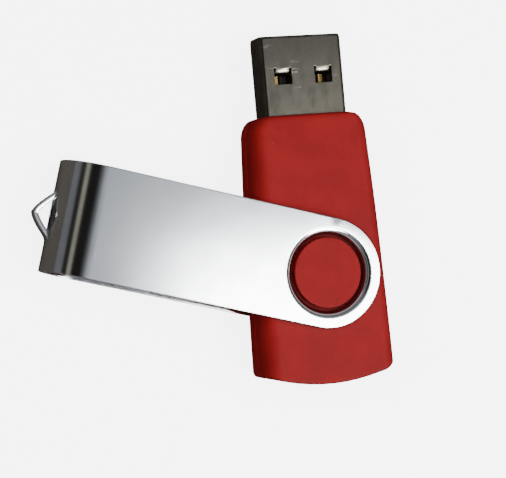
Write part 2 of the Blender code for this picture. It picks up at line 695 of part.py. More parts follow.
def leaded_chip(chip, low):
    """Return a chip package with gull-wing leads grown from its sides, as one closed mesh."""
    high = low + chip.height
    middle = (low + high) / 2
    bm = bmesh.new()
    add_box(bm, (chip.x - chip.half_x, chip.y - chip.half_y, low),
            (chip.x + chip.half_x, chip.y + chip.half_y, high))
    cut_lead_roots(bm, chip, middle)
    for axis, count, half, origin in lead_rows(chip):
        roots = []
        for face in bm.faces:
            place = face.calc_center_median()
            along = (place[1 - axis] - origin + half) * count / (2 * half)
            on_side = abs(face.normal[axis]) > 0.9 and abs(place.z - middle) < LEAD_THICKNESS / 2
            if on_side and abs(along % 1 - 0.5) < 0.1:
                roots.append(face)
        for root in roots:
            step = Vector((0, 0, low - middle + LEAD_THICKNESS / 2))
            step[axis] = root.normal[axis] * chip.lead_reach
            made = bmesh.ops.extrude_discrete_faces(bm, faces=[root])["faces"][0]
            bmesh.ops.translate(bm, verts=made.verts, vec=step)
    return bm


def build_chips(parent):
    """Make the packages with leads: memory under the board, controller and regulator on top."""
    low = BOARD_BOTTOM - GAP - FLASH_MEMORY.height
    memory = leaded_chip(FLASH_MEMORY, low)
    for vert in memory.verts:
        vert.co.z = 2 * low + FLASH_MEMORY.height - vert.co.z
    memory.normal_update()
    packages = {"flash_memory_chip": memory, "controller_chip": leaded_chip(CONTROLLER, BOARD_SURFACE),
                "voltage_regulator": leaded_chip(REGULATOR, BOARD_SURFACE)}
    for name, bm in packages.items():
        bmesh.ops.recalc_face_normals(bm, faces=bm.faces)
        add_object(name, bm, CHIP_BLACK, parent)


def stadium(half_straight, radius, steps=8):
    """Return the (x, y) points of an outline with two straight sides and two round ends."""
    points = []
    for side, start in ((1, -pi / 2), (-1, pi / 2)):
        for k in range(steps + 1):
            turn = start + pi * k / steps
            points.append((side * half_straight + radius * cos(turn), radius * sin(turn)))
    return points


def build_crystal(parent):
    """Make the crystal's drawn can, with round ends and a flange round its foot."""
    flange, top = CRYSTAL_RADIUS + CRYSTAL_FLANGE, CRYSTAL_RADIUS - CRYSTAL_SHOULDER
    levels = [(flange, 0.0), (flange, CRYSTAL_FLANGE_HEIGHT), (CRYSTAL_RADIUS, CRYSTAL_FLANGE_HEIGHT),
              (CRYSTAL_RADIUS, CRYSTAL_HEIGHT - CRYSTAL_SHOULDER), (top, CRYSTAL_HEIGHT)]
    bm = bmesh.new()
    rings = []
    for radius, height in levels:
        rings.append([bm.verts.new((x, y + CRYSTAL_Y, BOARD_SURFACE + height))
                      for x, y in stadium(CRYSTAL_HALF_STRAIGHT, radius)])
    for ring, following in zip(rings, rings[1:]):
        for i in range(len(ring)):
            j = (i + 1) % len(ring)
            bm.faces.new((ring[i], ring[j], following[j], following[i]))
    bm.faces.new(rings[0][::-1])
    bm.faces.new(rings[-1])
    bmesh.ops.recalc_face_normals(bm, faces=bm.faces)
    smooth(add_object("crystal", bm, CAN_STEEL, parent))


def board_part(name, place, half_size, height, edge, segments, finish, parent):
    """Add one small bevelled part that stands on the board's top."""
    (x, y), (half_x, half_y) = place, half_size
    bm = bevelled_box((x - half_x, y - half_y, BOARD_SURFACE),
                      (x + half_x, y + half_y, BOARD_SURFACE + height), edge, segments)
    return add_object(name, bm, finish, parent)


def build_small_parts(parent):
    """Make the LED and the rows of capacitors and resistors on the board's top."""
    led_edge, passive_edge = 0.12 * MM, 0.06 * MM
    led = board_part("activity_led", (0, LED_Y), LED_HALF_SIZE, LED_HEIGHT, led_edge, 2, LED_CLEAR, parent)
    smooth(led)
    rows = (("capacitor", CAPACITOR_PLACES, CAPACITOR_HEIGHT, CERAMIC),
            ("resistor", RESISTOR_PLACES, RESISTOR_HEIGHT, CHIP_BLACK))
    for kind, places, height, finish in rows:
        for number, place in enumerate(places, start=1):
            board_part(f"{kind}_{number}", place, PASSIVE_HALF_SIZE, height, passive_edge, 1, finish, parent)


def build():
    """Make the whole drive, with its cover swung out of the way of the plug."""
    clear_scene()
    body = add_empty("drive_body")
    swivel = add_empty("swivel_axis", COVER_OPEN_ANGLE)
    build_body(body)
    build_cover(swivel)
    build_plug_shell(body)
    build_insulator(body)
    build_contacts(body)
    build_board(body)
    build_chips(body)
    build_crystal(body)
    build_small_parts(body)


build()
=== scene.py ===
"""Looks of a USB flash drive with a swivel cover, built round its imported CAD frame.

The frame: X across the plug, Y along the plug towards its mouth, Z up, in metres. The cover swivels
about the vertical axis through the origin, and the drive lies flat on a pale floor.
"""

import json
import logging
from contextlib import contextmanager
from dataclasses import dataclass
from enum import Enum
from math import asin, cos, pi, radians, sin, sqrt
from typing import Any, Callable, Iterator

import bmesh
import bpy
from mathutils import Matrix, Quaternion, Vector


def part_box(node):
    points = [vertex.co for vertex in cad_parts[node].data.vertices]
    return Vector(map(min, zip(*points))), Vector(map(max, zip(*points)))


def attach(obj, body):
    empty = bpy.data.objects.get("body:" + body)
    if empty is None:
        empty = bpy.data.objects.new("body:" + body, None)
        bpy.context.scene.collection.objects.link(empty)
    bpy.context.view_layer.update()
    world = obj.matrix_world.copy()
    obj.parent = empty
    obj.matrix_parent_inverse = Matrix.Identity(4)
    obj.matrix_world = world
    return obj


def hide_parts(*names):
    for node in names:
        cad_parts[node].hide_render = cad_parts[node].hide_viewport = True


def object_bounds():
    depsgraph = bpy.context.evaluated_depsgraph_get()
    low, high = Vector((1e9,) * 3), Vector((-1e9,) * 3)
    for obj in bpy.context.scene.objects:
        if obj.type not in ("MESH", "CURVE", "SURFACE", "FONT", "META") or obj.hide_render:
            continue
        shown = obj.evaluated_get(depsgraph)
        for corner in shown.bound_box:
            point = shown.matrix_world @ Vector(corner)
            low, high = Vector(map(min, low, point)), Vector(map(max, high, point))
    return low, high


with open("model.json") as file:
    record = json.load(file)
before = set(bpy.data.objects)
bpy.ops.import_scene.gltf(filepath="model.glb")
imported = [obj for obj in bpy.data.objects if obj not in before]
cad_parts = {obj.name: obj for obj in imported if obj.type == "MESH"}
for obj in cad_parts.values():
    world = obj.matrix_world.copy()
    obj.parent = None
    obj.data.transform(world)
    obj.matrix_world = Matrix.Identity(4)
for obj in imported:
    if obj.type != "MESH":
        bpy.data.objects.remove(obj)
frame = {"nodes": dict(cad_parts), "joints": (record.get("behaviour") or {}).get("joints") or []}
CAD_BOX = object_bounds()

MM = 0.001
TINY = 0.00001
FLAT_FACE_WEIGHT = 80
MIX_COLOUR_INPUTS = (0, 6, 7)
MIX_COLOUR_OUTPUT = 2
LOG = logging.getLogger("flash_drive")
SWIVEL = frame["joints"][0]
MIDDLE_Z = SWIVEL["pos_m"][2]
COVER_OPEN_ANGLE = radians(163.3)
Point = tuple[float, float, float]


class Element(Enum):
    """What an edit selects."""

    VERT = "verts"
    EDGE = "edges"
    FACE = "faces"


class Side(Enum):
    """Which half of the body a shell is, as the sign of its height over the middle plane."""

    UPPER = 1
    LOWER = -1


# ---------------------------------------------------------------- the bench

def deselect_all() -> None:
    """Deselect every object."""
    bpy.ops.object.select_all(action="DESELECT")


class Workpiece:
    """One mesh on the bench, shaped in edit mode and finished with applied modifiers."""

    def __init__(self, name: str, add: Callable[..., Any], **settings: Any) -> None:
        """Add a primitive at its size and place.

        Args:
            name: The finished piece's name.
            add: The operator that adds the primitive.
            settings: The operator's size and place.
        """
        deselect_all()
        add(**settings)
        self.obj = bpy.context.object
        self.obj.name = name
        self.obj.data.name = name
        bpy.ops.object.transform_apply(location=True, rotation=True, scale=True)

    def make_active(self) -> None:
        """Select this piece alone."""
        deselect_all()
        self.obj.select_set(True)
        bpy.context.view_layer.objects.active = self.obj

    @contextmanager
    def editing(self) -> Iterator[None]:
        """Hold the piece in edit mode.

        Yields:
            Nothing, while the piece is in edit mode.
        """
        self.make_active()
        bpy.ops.object.mode_set(mode="EDIT")
        yield
        bpy.ops.object.mode_set(mode="OBJECT")

    def select(self, kind: Element, test: Callable[[Any], bool]) -> int:
        """Select the elements that pass a test, and nothing else.

        Args:
            kind: Whether vertices, edges or faces are tested.
            test: Says whether one element is wanted.

        Returns:
            How many were selected.
        """
        bpy.ops.mesh.select_mode(type=kind.name)
        bpy.ops.mesh.select_all(action="DESELECT")
        mesh = bmesh.from_edit_mesh(self.obj.data)
        mesh.normal_update()
        wanted = [item for item in getattr(mesh, kind.value) if test(item)]
        for item in wanted:
            item.select_set(True)
        mesh.select_flush_mode()
        bmesh.update_edit_mesh(self.obj.data)
        return len(wanted)

    def select_long_edges(self, length: float) -> int:
        """Select the edges that run further than a length along Y, and return how many there are."""
        return self.select(Element.EDGE, lambda edge: abs(edge.verts[0].co.y - edge.verts[1].co.y) > length)

    def marks(self, mark: Callable[[Any], int], test: Callable[[Any], bool]) -> list[int]:
        """List the different marks of the vertices that pass a test.

        Args:
            mark: Gives one vertex its mark.
            test: Says whether a vertex is wanted.

        Returns:
            The marks in rising order.
        """
        vertices = bmesh.from_edit_mesh(self.obj.data).verts
        return sorted({mark(vert) for vert in vertices if test(vert)})

    def cut(self, axis: int, places: list[float]) -> None:
        """Cut the piece through by planes across one axis.

        Args:
            axis: 0, 1 or 2 for the planes' normal.
            places: Where on the axis each plane lies.
        """
        normal = [float(k == axis) for k in range(3)]
        for place in places:
            self.select(Element.FACE, lambda face: True)
            bpy.ops.mesh.bisect(plane_co=[place * part for part in normal], plane_no=normal)

    def resize(self, value: Point, centre: Point) -> None:
        """Scale the selection about a point."""
        bpy.ops.transform.resize(value=value, center_override=centre)

    def move(self, step: Point) -> None:
        """Move the selection."""
        bpy.ops.transform.translate(value=step)

    def extrude(self, step: Point = (0.0, 0.0, 0.0)) -> None:
        """Extrude the selection by a step, and leave what is new selected."""
        bpy.ops.mesh.extrude_region_move(TRANSFORM_OT_translate={"value": step})

    def spin(self, angle: float, steps: int, centre: Point, axis: Point) -> None:
        """Spin the selection about an axis, and leave its last row selected."""
        bpy.ops.mesh.spin(steps=steps, angle=angle, center=centre, axis=axis)

    def bevel(self, width: float, segments: int) -> None:
        """Round the selected edges."""
        bpy.ops.mesh.bevel(offset=width, segments=segments, profile=0.5, affect="EDGES")

    def remove_faces(self) -> None:
        """Delete the selected faces."""
        bpy.ops.mesh.delete(type="FACE")

    def merge_doubles(self) -> None:
        """Merge vertices that lie on each other and turn every face outwards."""
        bpy.ops.mesh.select_all(action="SELECT")
        bpy.ops.mesh.remove_doubles(threshold=TINY / 10)
        bpy.ops.mesh.normals_make_consistent(inside=False)

    def modify(self, kind: str, **settings: Any) -> None:
        """Add a modifier with its settings and apply it.

        Args:
            kind: The modifier's type.
            settings: Values for the modifier's own fields.
        """
        self.make_active()
        modifier = self.obj.modifiers.new(kind.lower(), kind)
        for key, value in settings.items():
            setattr(modifier, key, value)
        bpy.ops.object.modifier_apply(modifier=modifier.name)

    def combine(self, operation: str, tool: "Workpiece") -> None:
        """Cut another piece out of this one, or join it on, and remove the other piece.

        Args:
            operation: The Boolean modifier's own name for what is done.
            tool: The other piece.
        """
        self.modify("BOOLEAN", operation=operation, solver="EXACT", object=tool.obj)
        self.modify("TRIANGULATE", min_vertices=5)
        bpy.data.objects.remove(tool.obj, do_unlink=True)

    def soften_edges(self, width: float, segments: int = 2, angle: float = 45) -> None:
        """Round every sharp edge of the finished shape a little."""
        self.modify("BEVEL", width=width, segments=segments, limit_method="ANGLE",
                    angle_limit=radians(angle), use_clamp_overlap=False, miter_outer="MITER_ARC")

    def shade(self, angle: float = 32) -> None:
        """Shade round surfaces smooth and keep flat faces flat.

        Args:
            angle: The angle in degrees past which an edge stays sharp.
        """
        self.make_active()
        bpy.ops.object.shade_smooth_by_angle(angle=radians(angle))
        self.modify("WEIGHTED_NORMAL", keep_sharp=True, weight=FLAT_FACE_WEIGHT)

    def place(self, turn: float, height: float) -> None:
        """Turn the finished piece about the swivel axis and lift it, in its mesh.

        Args:
            turn: The angle in radians.
            height: How far it is lifted.
        """
        self.make_active()
        self.obj.rotation_euler = (0, 0, turn)
        self.obj.location = (0, 0, height)
        bpy.ops.object.transform_apply(location=True, rotation=True, scale=True)

    def finish(self, material: bpy.types.Material, slot: str, body: str, *nodes: str) -> None:
        """Dress the piece, and say which body it rides on and which CAD nodes it stands for.

        Args:
            material: The finish.
            slot: The record's material slot, which is not used.
            body: The CAD body that the piece moves with.
            nodes: The CAD nodes that the piece replaces.
        """
        self.obj.data.materials.clear()
        self.obj.data.materials.append(material)
        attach(self.obj, body)
        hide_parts(*nodes)
        triangles = sum(len(face.vertices) - 2 for face in self.obj.data.polygons)
        LOG.info("%s: %d triangles, stands for %s", self.obj.name, triangles, ", ".join(nodes))


# ---------------------------------------------------------------- nodes

class NodeBench:
    """Adds and joins nodes in a material's or a group's tree."""

    def __init__(self, tree: bpy.types.NodeTree) -> None:
        """Work on one node tree."""
        self.tree = tree

    def add(self, kind: str, **values: Any) -> bpy.types.Node:
        """Add a node.

        Args:
            kind: The node's type.
            values: Fields of the node, or inputs by name with _ for a space. A socket is linked.

        Returns:
            The node.
        """
        node = self.tree.nodes.new(kind)
        inputs = {socket.name.replace(" ", "_"): socket for socket in reversed(node.inputs)}
        for key, value in values.items():
            if key in inputs:
                self.feed(inputs[key], value)
            else:
                setattr(node, key, value)
        return node

    def feed(self, socket: bpy.types.NodeSocket, value: Any) -> None:
        """Link a socket to an output, or set its value.

        Args:
            socket: The input.
            value: An output to link, or a plain value.
        """
        if isinstance(value, bpy.types.NodeSocket):
            self.tree.links.new(value, socket)
        else:
            socket.default_value = value

    def maths(self, operation: str, *values: Any, clamp: bool = False) -> bpy.types.NodeSocket:
        """Add a Math node.

        Args:
            operation: What it does.
            values: Its inputs, as numbers or outputs.
            clamp: Whether its result is held between 0 and 1.

        Returns:
            Its output.
        """
        node = self.tree.nodes.new("ShaderNodeMath")
        node.operation = operation
        node.use_clamp = clamp
        for socket, value in zip(node.inputs, values):
            self.feed(socket, value)
        return node.outputs[0]

    def spread(self, value: Any, low: float, high: float, to_low: Any = 0.0, to_high: Any = 1.0,
               ) -> bpy.types.NodeSocket:
        """Map a value smoothly from one range to another, and hold it there.

        Args:
            value: The value.
            low: Where the first range starts.
            high: Where the first range ends.
            to_low: What low becomes.
            to_high: What high becomes.

        Returns:
            The mapped value.
        """
        node = self.tree.nodes.new("ShaderNodeMapRange")
        node.interpolation_type = "SMOOTHSTEP"
        for socket, item in zip(node.inputs, (value, low, high, to_low, to_high)):
            self.feed(socket, item)
        return node.outputs[0]

    def times(self, first: Any, second: Any) -> bpy.types.NodeSocket:
        """Return the product of two values."""
        return self.maths("MULTIPLY", first, second)

    def blend(self, share: Any, first: Any, second: Any) -> bpy.types.NodeSocket:
        """Mix two colours.

        Args:
            share: How much of the second colour is taken, from 0 to 1.
            first: A colour of four parts, or an output.
            second: Another colour or output.

        Returns:
            The mixed colour.
        """
        node = self.tree.nodes.new("ShaderNodeMix")
        node.data_type = "RGBA"
        for place, value in zip(MIX_COLOUR_INPUTS, (share, first, second)):
            self.feed(node.inputs[place], value)
        return node.outputs[MIX_COLOUR_OUTPUT]

    def noise(self, vector: Any, scale: Any, detail: float = 3.0,
              rough: float = 0.55) -> bpy.types.NodeSocket:
        """Return the value of a noise texture."""
        node = self.add("ShaderNodeTexNoise", Vector=vector, Scale=scale, Detail=detail, Roughness=rough)
        return node.outputs["Fac"]


EffectParts = tuple[bpy.types.NodeTree, NodeBench, dict[str, Any], bpy.types.Node]


# ---------------------------------------------------------------- shared effects

def effect(name: str, inputs: dict[str, Any], outputs: list[str]) -> EffectParts:
    """Start a shared effect's node group.

    Args:
        name: The group's name.
        inputs: Each input's name and first value, where None is a vector.
        outputs: The names of the values that the group puts out.

    Returns:
        The group, its bench, its input sockets by name and its output node.
    """
    group = bpy.data.node_groups.new(name, "ShaderNodeTree")
    for key, value in inputs.items():
        kind = "NodeSocketVector" if value is None else "NodeSocketFloat"
        socket = group.interface.new_socket(name=key, in_out="INPUT", socket_type=kind)
        if value is not None:
            socket.default_value = value
    for key in outputs:
        group.interface.new_socket(name=key, in_out="OUTPUT", socket_type="NodeSocketFloat")
    entry = group.nodes.new("NodeGroupInput")
    leave = group.nodes.new("NodeGroupOutput")
    return group, NodeBench(group), {key: entry.outputs[key] for key in inputs}, leave


def fine_grain_effect() -> bpy.types.NodeTree:
    """Make the fine grain that a tool or a mould leaves: a height and a slower change of tone.

    Returns:
        The node group.
    """
    group, bench, given, leave = effect("fine_grain", {"Vector": None, "Scale": 9000.0, "Tone Scale": 260.0},
                                        ["Height", "Tone"])
    pit_share = 0.5
    fine = bench.noise(given["Vector"], given["Scale"], 2.0, 0.6)
    cells = bench.add("ShaderNodeTexVoronoi", Vector=given["Vector"], Scale=given["Scale"])
    height = bench.maths("ADD", fine, bench.times(cells.outputs["Distance"], pit_share))
    bench.feed(leave.inputs["Height"], height)
    bench.feed(leave.inputs["Tone"], bench.noise(given["Vector"], given["Tone Scale"], 4.0, 0.6))
    return group


def edge_wear_effect() -> bpy.types.NodeTree:
    """Make a mask that is 1 where an outer edge is worn, broken up by noise.

    Returns:
        The node group.
    """
    group, bench, given, leave = effect("edge_wear", {"Vector": None, "Width": 0.25 * MM, "Breakup": 1500.0},
                                        ["Mask"])
    rounded = bench.add("ShaderNodeBevel", Radius=given["Width"], samples=6)
    plain = bench.add("ShaderNodeNewGeometry")
    dot = bench.add("ShaderNodeVectorMath", operation="DOT_PRODUCT")
    bench.feed(dot.inputs[0], rounded.outputs[0])
    bench.feed(dot.inputs[1], plain.outputs["Normal"])
    edge = bench.spread(dot.outputs["Value"], 0.995, 0.90)
    broken = bench.spread(bench.noise(given["Vector"], given["Breakup"], 3.0), 0.35, 0.62)
    bench.feed(leave.inputs["Mask"], bench.maths("MULTIPLY", edge, broken, clamp=True))
    return group


def scuffs_effect() -> bpy.types.NodeTree:
    """Make thin scratches that run every way and stop, as a mask.

    Returns:
        The node group.
    """
    group, bench, given, leave = effect("scuffs", {"Vector": None, "Scale": 180.0, "Thinness": 0.02,
                                                   "Amount": 0.5}, ["Mask"])
    turns_and_stretches = ((0.35, 0.06), (-0.9, 0.09), (1.35, 0.05))
    rarest, amount_share = 0.82, 0.35
    masks = []
    for turn, stretch in turns_and_stretches:
        turned = bench.add("ShaderNodeMapping", Vector=given["Vector"], Rotation=(0, 0, turn),
                           Scale=(stretch, 1.0, 1.0))
        wander = bench.noise(turned.outputs[0], bench.times(given["Scale"], 2.0), 2.0)
        near = bench.maths("ABSOLUTE", bench.maths("SUBTRACT", wander, 0.5))
        line = bench.maths("LESS_THAN", near, bench.times(given["Thinness"], 0.25))
        place = bench.noise(given["Vector"], bench.times(given["Scale"], 1.0 + stretch * 4), 2.0)
        limit = bench.maths("SUBTRACT", rarest, bench.times(given["Amount"], amount_share))
        wanted = bench.maths("GREATER_THAN", place, limit)
        masks.append(bench.times(line, wanted))
    first = bench.maths("MAXIMUM", masks[0], masks[1])
    bench.feed(leave.inputs["Mask"], bench.maths("MAXIMUM", first, masks[2]))
    return group


def dust_effect() -> bpy.types.NodeTree:
    """Make sparse specks of dust on faces that look up, as a mask.

    Returns:
        The node group.
    """
    group, bench, given, leave = effect("dust", {"Vector": None, "Scale": 900.0, "Amount": 0.1}, ["Mask"])
    cells = bench.add("ShaderNodeTexVoronoi", Vector=given["Vector"], Scale=given["Scale"], Randomness=1.0)
    patchiness = 400.0
    size = bench.times(given["Amount"], bench.noise(given["Vector"], patchiness, 2.0))
    speck = bench.maths("LESS_THAN", cells.outputs["Distance"], size)
    up = bench.add("ShaderNodeSeparateXYZ", Vector=bench.add("ShaderNodeNewGeometry").outputs["Normal"])
    bench.feed(leave.inputs["Mask"], bench.times(speck, bench.spread(up.outputs["Z"], 0.3, 0.8)))
    return group


def painted_groove_shade_effect() -> bpy.types.NodeTree:
    """Make a mask of painted shade that is 1 deep in grooves and seams, where ambient occlusion is low.

    Returns:
        The node group.
    """
    group, bench, given, leave = effect("grime", {"Vector": None, "Reach": 1.2 * MM, "Breakup": 1200.0},
                                        ["Mask"])
    # Painted shade: ambient occlusion finds the grooves and seams that light reaches little.
    open_sky = bench.add("ShaderNodeAmbientOcclusion", Distance=given["Reach"], samples=8)
    deep = bench.spread(open_sky.outputs["AO"], 0.85, 0.3)
    uneven = bench.spread(bench.noise(given["Vector"], given["Breakup"], 3.0), 0.2, 0.6, 0.75, 1.0)
    bench.feed(leave.inputs["Mask"], bench.maths("MULTIPLY", deep, uneven, clamp=True))
    return group


class Effects:
    """The shared node groups, each built once."""

    MAKERS = {"fine_grain": fine_grain_effect, "edge_wear": edge_wear_effect, "scuffs": scuffs_effect,
              "dust": dust_effect, "grime": painted_groove_shade_effect}

    @classmethod
    def use(cls, bench: NodeBench, name: str, **values: Any) -> bpy.types.Node:
        """Place a shared effect in a material.

        Args:
            bench: The material's bench.
            name: The effect's name.
            values: The effect's inputs by name, with _ for a space.

        Returns:
            The group node.
        """
        group = bpy.data.node_groups.get(name) or cls.MAKERS[name]()
        node = bench.tree.nodes.new("ShaderNodeGroup")
        node.node_tree = group
        for key, value in values.items():
            bench.feed(node.inputs[key.replace("_", " ")], value)
        return node


# ---------------------------------------------------------------- finishes

def start_material(name: str) -> tuple[bpy.types.Material, NodeBench, bpy.types.Node, bpy.types.NodeSocket]:
    """Start a material.

    Args:
        name: The material's name.

    Returns:
        The material, its bench, its Principled shader and its Object coordinates.
    """
    material = bpy.data.materials.new(name)
    material.use_nodes = True
    bench = NodeBench(material.node_tree)
    shader = material.node_tree.nodes["Principled BSDF"]
    place = bench.add("ShaderNodeTexCoord").outputs["Object"]
    return material, bench, shader, place


def set_bump(bench: NodeBench, shader: bpy.types.Node, height: Any, depth: float) -> None:
    """Feed a height into the shader's normal through a Bump node of a real depth."""
    bump = bench.add("ShaderNodeBump", Strength=1.0, Distance=depth, Height=height)
    bench.feed(shader.inputs["Normal"], bump.outputs["Normal"])


@dataclass(frozen=True)
class MouldedPlastic:
    """Matt moulded plastic with a spark-eroded grain, rubbed a little paler along its edges, with painted
    shade darkening its grooves and seams.
    """

    name: str
    colour: Point
    worn: Point
    roughness: float
    gloss: float = 0.15
    # Painted shade: the colour that grooves and seams are darkened towards.
    painted_shade: Point = (0.02, 0.004, 0.004)
    dust_colour: Point = (0.5, 0.46, 0.44)
    grain_depth: float = 0.006 * MM
    dust: float = 0.05
    rub_share: float = 0.35
    scratch_share: float = 0.12
    dust_share: float = 0.3
    # Painted shade: how far grooves and seams are darkened.
    painted_shade_share: float = 0.75
    edge_polish: float = 0.08
    tones: tuple[float, float] = (0.9, 1.08)
    roughness_range: tuple[float, float] = (-0.04, 0.05)

    def make(self) -> bpy.types.Material:
        """Make the finish.

        Returns:
            The material.
        """
        material, bench, shader, place = start_material(self.name)
        grain = Effects.use(bench, "fine_grain", Vector=place, Scale=7000.0, Tone_Scale=220.0)
        wear = Effects.use(bench, "edge_wear", Vector=place, Width=0.22 * MM, Breakup=900.0)
        scuffs = Effects.use(bench, "scuffs", Vector=place, Scale=150.0, Thinness=0.012, Amount=0.35)
        dust = Effects.use(bench, "dust", Vector=place, Scale=700.0, Amount=self.dust)
        darker, lighter = (tuple(min(1.0, part * tone) for part in self.colour) for tone in self.tones)
        tone = bench.spread(grain.outputs["Tone"], 0.3, 0.7)
        body = bench.blend(tone, (*darker, 1), (*lighter, 1))
        # Painted shade: ambient occlusion darkens the colour in grooves and seams.
        grime = Effects.use(bench, "grime", Vector=place, Reach=1.2 * MM, Breakup=1200.0)
        for effect_node, share, colour in ((wear, self.rub_share, self.worn),
                                           (scuffs, self.scratch_share, self.worn),
                                           (dust, self.dust_share, self.dust_colour),
                                           (grime, self.painted_shade_share, self.painted_shade)):
            body = bench.blend(bench.times(effect_node.outputs["Mask"], share), body, (*colour, 1))
        bench.feed(shader.inputs["Base Color"], body)
        smoother, rougher = (self.roughness + change for change in self.roughness_range)
        rough = bench.spread(grain.outputs["Tone"], 0.25, 0.75, smoother, rougher)
        bench.feed(shader.inputs["Roughness"], bench.maths(
            "SUBTRACT", rough, bench.times(wear.outputs["Mask"], self.edge_polish)))
        shader.inputs["Specular IOR Level"].default_value = self.gloss
        set_bump(bench, shader, grain.outputs["Height"], self.grain_depth)
        return material


@dataclass(frozen=True)
class WornMetal:
    """Sheet metal: a satin or plated face with fine grain, scuffs and brighter, smoother edges."""

    name: str
    colour: Point
    bright: Point
    roughness: float
    grain_scale: float
    grain_depth: float
    scuff_amount: float
    stain: float = 0.06
    stretch: Point = (1.0, 1.0, 1.0)
    stain_scale: float = 170.0
    unevenness: float = 0.1
    scuff_depth: float = 1.5
    wear_share: float = 0.8
    scuff_share: float = 0.5
    mark_roughness: float = 0.06
    dust_roughness: float = 0.25
    dust_dulling: float = 0.4

    def make(self) -> bpy.types.Material:
        """Make the finish.

        Returns:
            The material.
        """
        material, bench, shader, place = start_material(self.name)
        along = bench.add("ShaderNodeMapping", Vector=place, Scale=self.stretch).outputs[0]
        grain = Effects.use(bench, "fine_grain", Vector=along, Scale=self.grain_scale,
                            Tone_Scale=self.stain_scale)
        wear = Effects.use(bench, "edge_wear", Vector=place, Width=0.16 * MM, Breakup=1300.0)
        scuffs = Effects.use(bench, "scuffs", Vector=place, Scale=210.0, Thinness=0.016,
                             Amount=self.scuff_amount)
        dust = Effects.use(bench, "dust", Vector=place, Scale=2600.0, Amount=0.05)
        stained = tuple(part * (1 - 2 * self.stain) for part in self.colour)
        tone = bench.spread(grain.outputs["Tone"], 0.32, 0.62)
        body = bench.blend(tone, (*stained, 1), (*self.colour, 1))
        marks = bench.maths("MAXIMUM", bench.times(wear.outputs["Mask"], self.wear_share),
                            bench.times(scuffs.outputs["Mask"], self.scuff_share))
        bench.feed(shader.inputs["Base Color"], bench.blend(marks, body, (*self.bright, 1)))
        rough = bench.spread(grain.outputs["Tone"], 0.3, 0.7, self.roughness * (1 + self.unevenness),
                             self.roughness * (1 - self.unevenness))
        worn_rough = bench.maths("ADD", rough, bench.times(marks, self.mark_roughness))
        bench.feed(shader.inputs["Roughness"], bench.maths(
            "ADD", worn_rough, bench.times(dust.outputs["Mask"], self.dust_roughness)))
        bench.feed(shader.inputs["Metallic"], bench.maths(
            "SUBTRACT", 1.0, bench.times(dust.outputs["Mask"], self.dust_dulling)))
        height = bench.maths("SUBTRACT", grain.outputs["Height"],
                             bench.times(scuffs.outputs["Mask"], self.scuff_depth))
        set_bump(bench, shader, height, self.grain_depth)
        return material


@dataclass(frozen=True)
class SolderMask:
    """Green solder mask over faint copper tracks, with a gloss coat."""

    name: str = "solder_mask"
    mask: Point = (0.012, 0.12, 0.045)
    track: Point = (0.03, 0.2, 0.08)
    pitch: float = 1500.0
    cloud_share: float = 0.35
    smooth: float = 0.3
    rough: float = 0.42
    coat: float = 0.4
    track_depth: float = 0.02 * MM

    def make(self) -> bpy.types.Material:
        """Make the finish.

        Returns:
            The material.
        """
        material, bench, shader, place = start_material(self.name)
        cells = bench.add("ShaderNodeTexBrick", Vector=place, Scale=self.pitch, Mortar_Size=0.12)
        grain = Effects.use(bench, "fine_grain", Vector=place, Scale=6000.0, Tone_Scale=300.0)
        tracks = bench.blend(cells.outputs["Fac"], (*self.mask, 1), (*self.track, 1))
        cloudy = bench.blend(bench.times(grain.outputs["Tone"], self.cloud_share), tracks, (*self.mask, 1))
        bench.feed(shader.inputs["Base Color"], cloudy)
        bench.feed(shader.inputs["Roughness"], bench.spread(
            grain.outputs["Tone"], 0.3, 0.7, self.smooth, self.rough))
        shader.inputs["Coat Weight"].default_value = self.coat
        set_bump(bench, shader, cells.outputs["Fac"], self.track_depth)
        return material


@dataclass(frozen=True)
class BoardPart:
    """A small part's ceramic, film or epoxy body, with paler specks and edges."""

    name: str
    colour: Point
    fleck: Point
    roughness: float
    coat: float = 0.0
    fleck_share: float = 0.5
    roughness_range: tuple[float, float] = (-0.05, 0.06)
    grain_depth: float = 0.004 * MM

    def make(self) -> bpy.types.Material:
        """Make the finish.

        Returns:
            The material.
        """
        material, bench, shader, place = start_material(self.name)
        grain = Effects.use(bench, "fine_grain", Vector=place, Scale=12000.0, Tone_Scale=900.0)
        wear = Effects.use(bench, "edge_wear", Vector=place, Width=0.08 * MM, Breakup=3000.0)
        speckle = bench.spread(grain.outputs["Height"], 0.75, 0.95)
        body = bench.blend(bench.times(speckle, self.fleck_share), (*self.colour, 1), (*self.fleck, 1))
        bench.feed(shader.inputs["Base Color"], bench.blend(
            bench.times(wear.outputs["Mask"], self.fleck_share), body, (*self.fleck, 1)))
        smoother, rougher = (self.roughness + change for change in self.roughness_range)
        bench.feed(shader.inputs["Roughness"], bench.spread(
            grain.outputs["Tone"], 0.3, 0.7, smoother, rougher))
        shader.inputs["Coat Weight"].default_value = self.coat
        set_bump(bench, shader, grain.outputs["Height"], self.grain_depth)
        return material


RED_PLASTIC = MouldedPlastic("red_plastic", (0.195, 0.0085, 0.0095), (0.30, 0.022, 0.02), 0.62, 0.06)
BLACK_PLASTIC = MouldedPlastic("black_plastic", (0.016, 0.014, 0.012), (0.05, 0.045, 0.04), 0.5, dust=0.02)
SATIN_STEEL = WornMetal("satin_steel", (0.83, 0.85, 0.88), (0.93, 0.94, 0.95), 0.14, 14000.0, 0.0005 * MM,
                        0.02)
NICKEL_STEEL = WornMetal("nickel_steel", (0.225, 0.208, 0.168), (0.34, 0.33, 0.29), 0.2, 6000.0, 0.0012 * MM,
                         0.45, 0.2, (1.0, 0.55, 1.0), 750.0, 0.3)
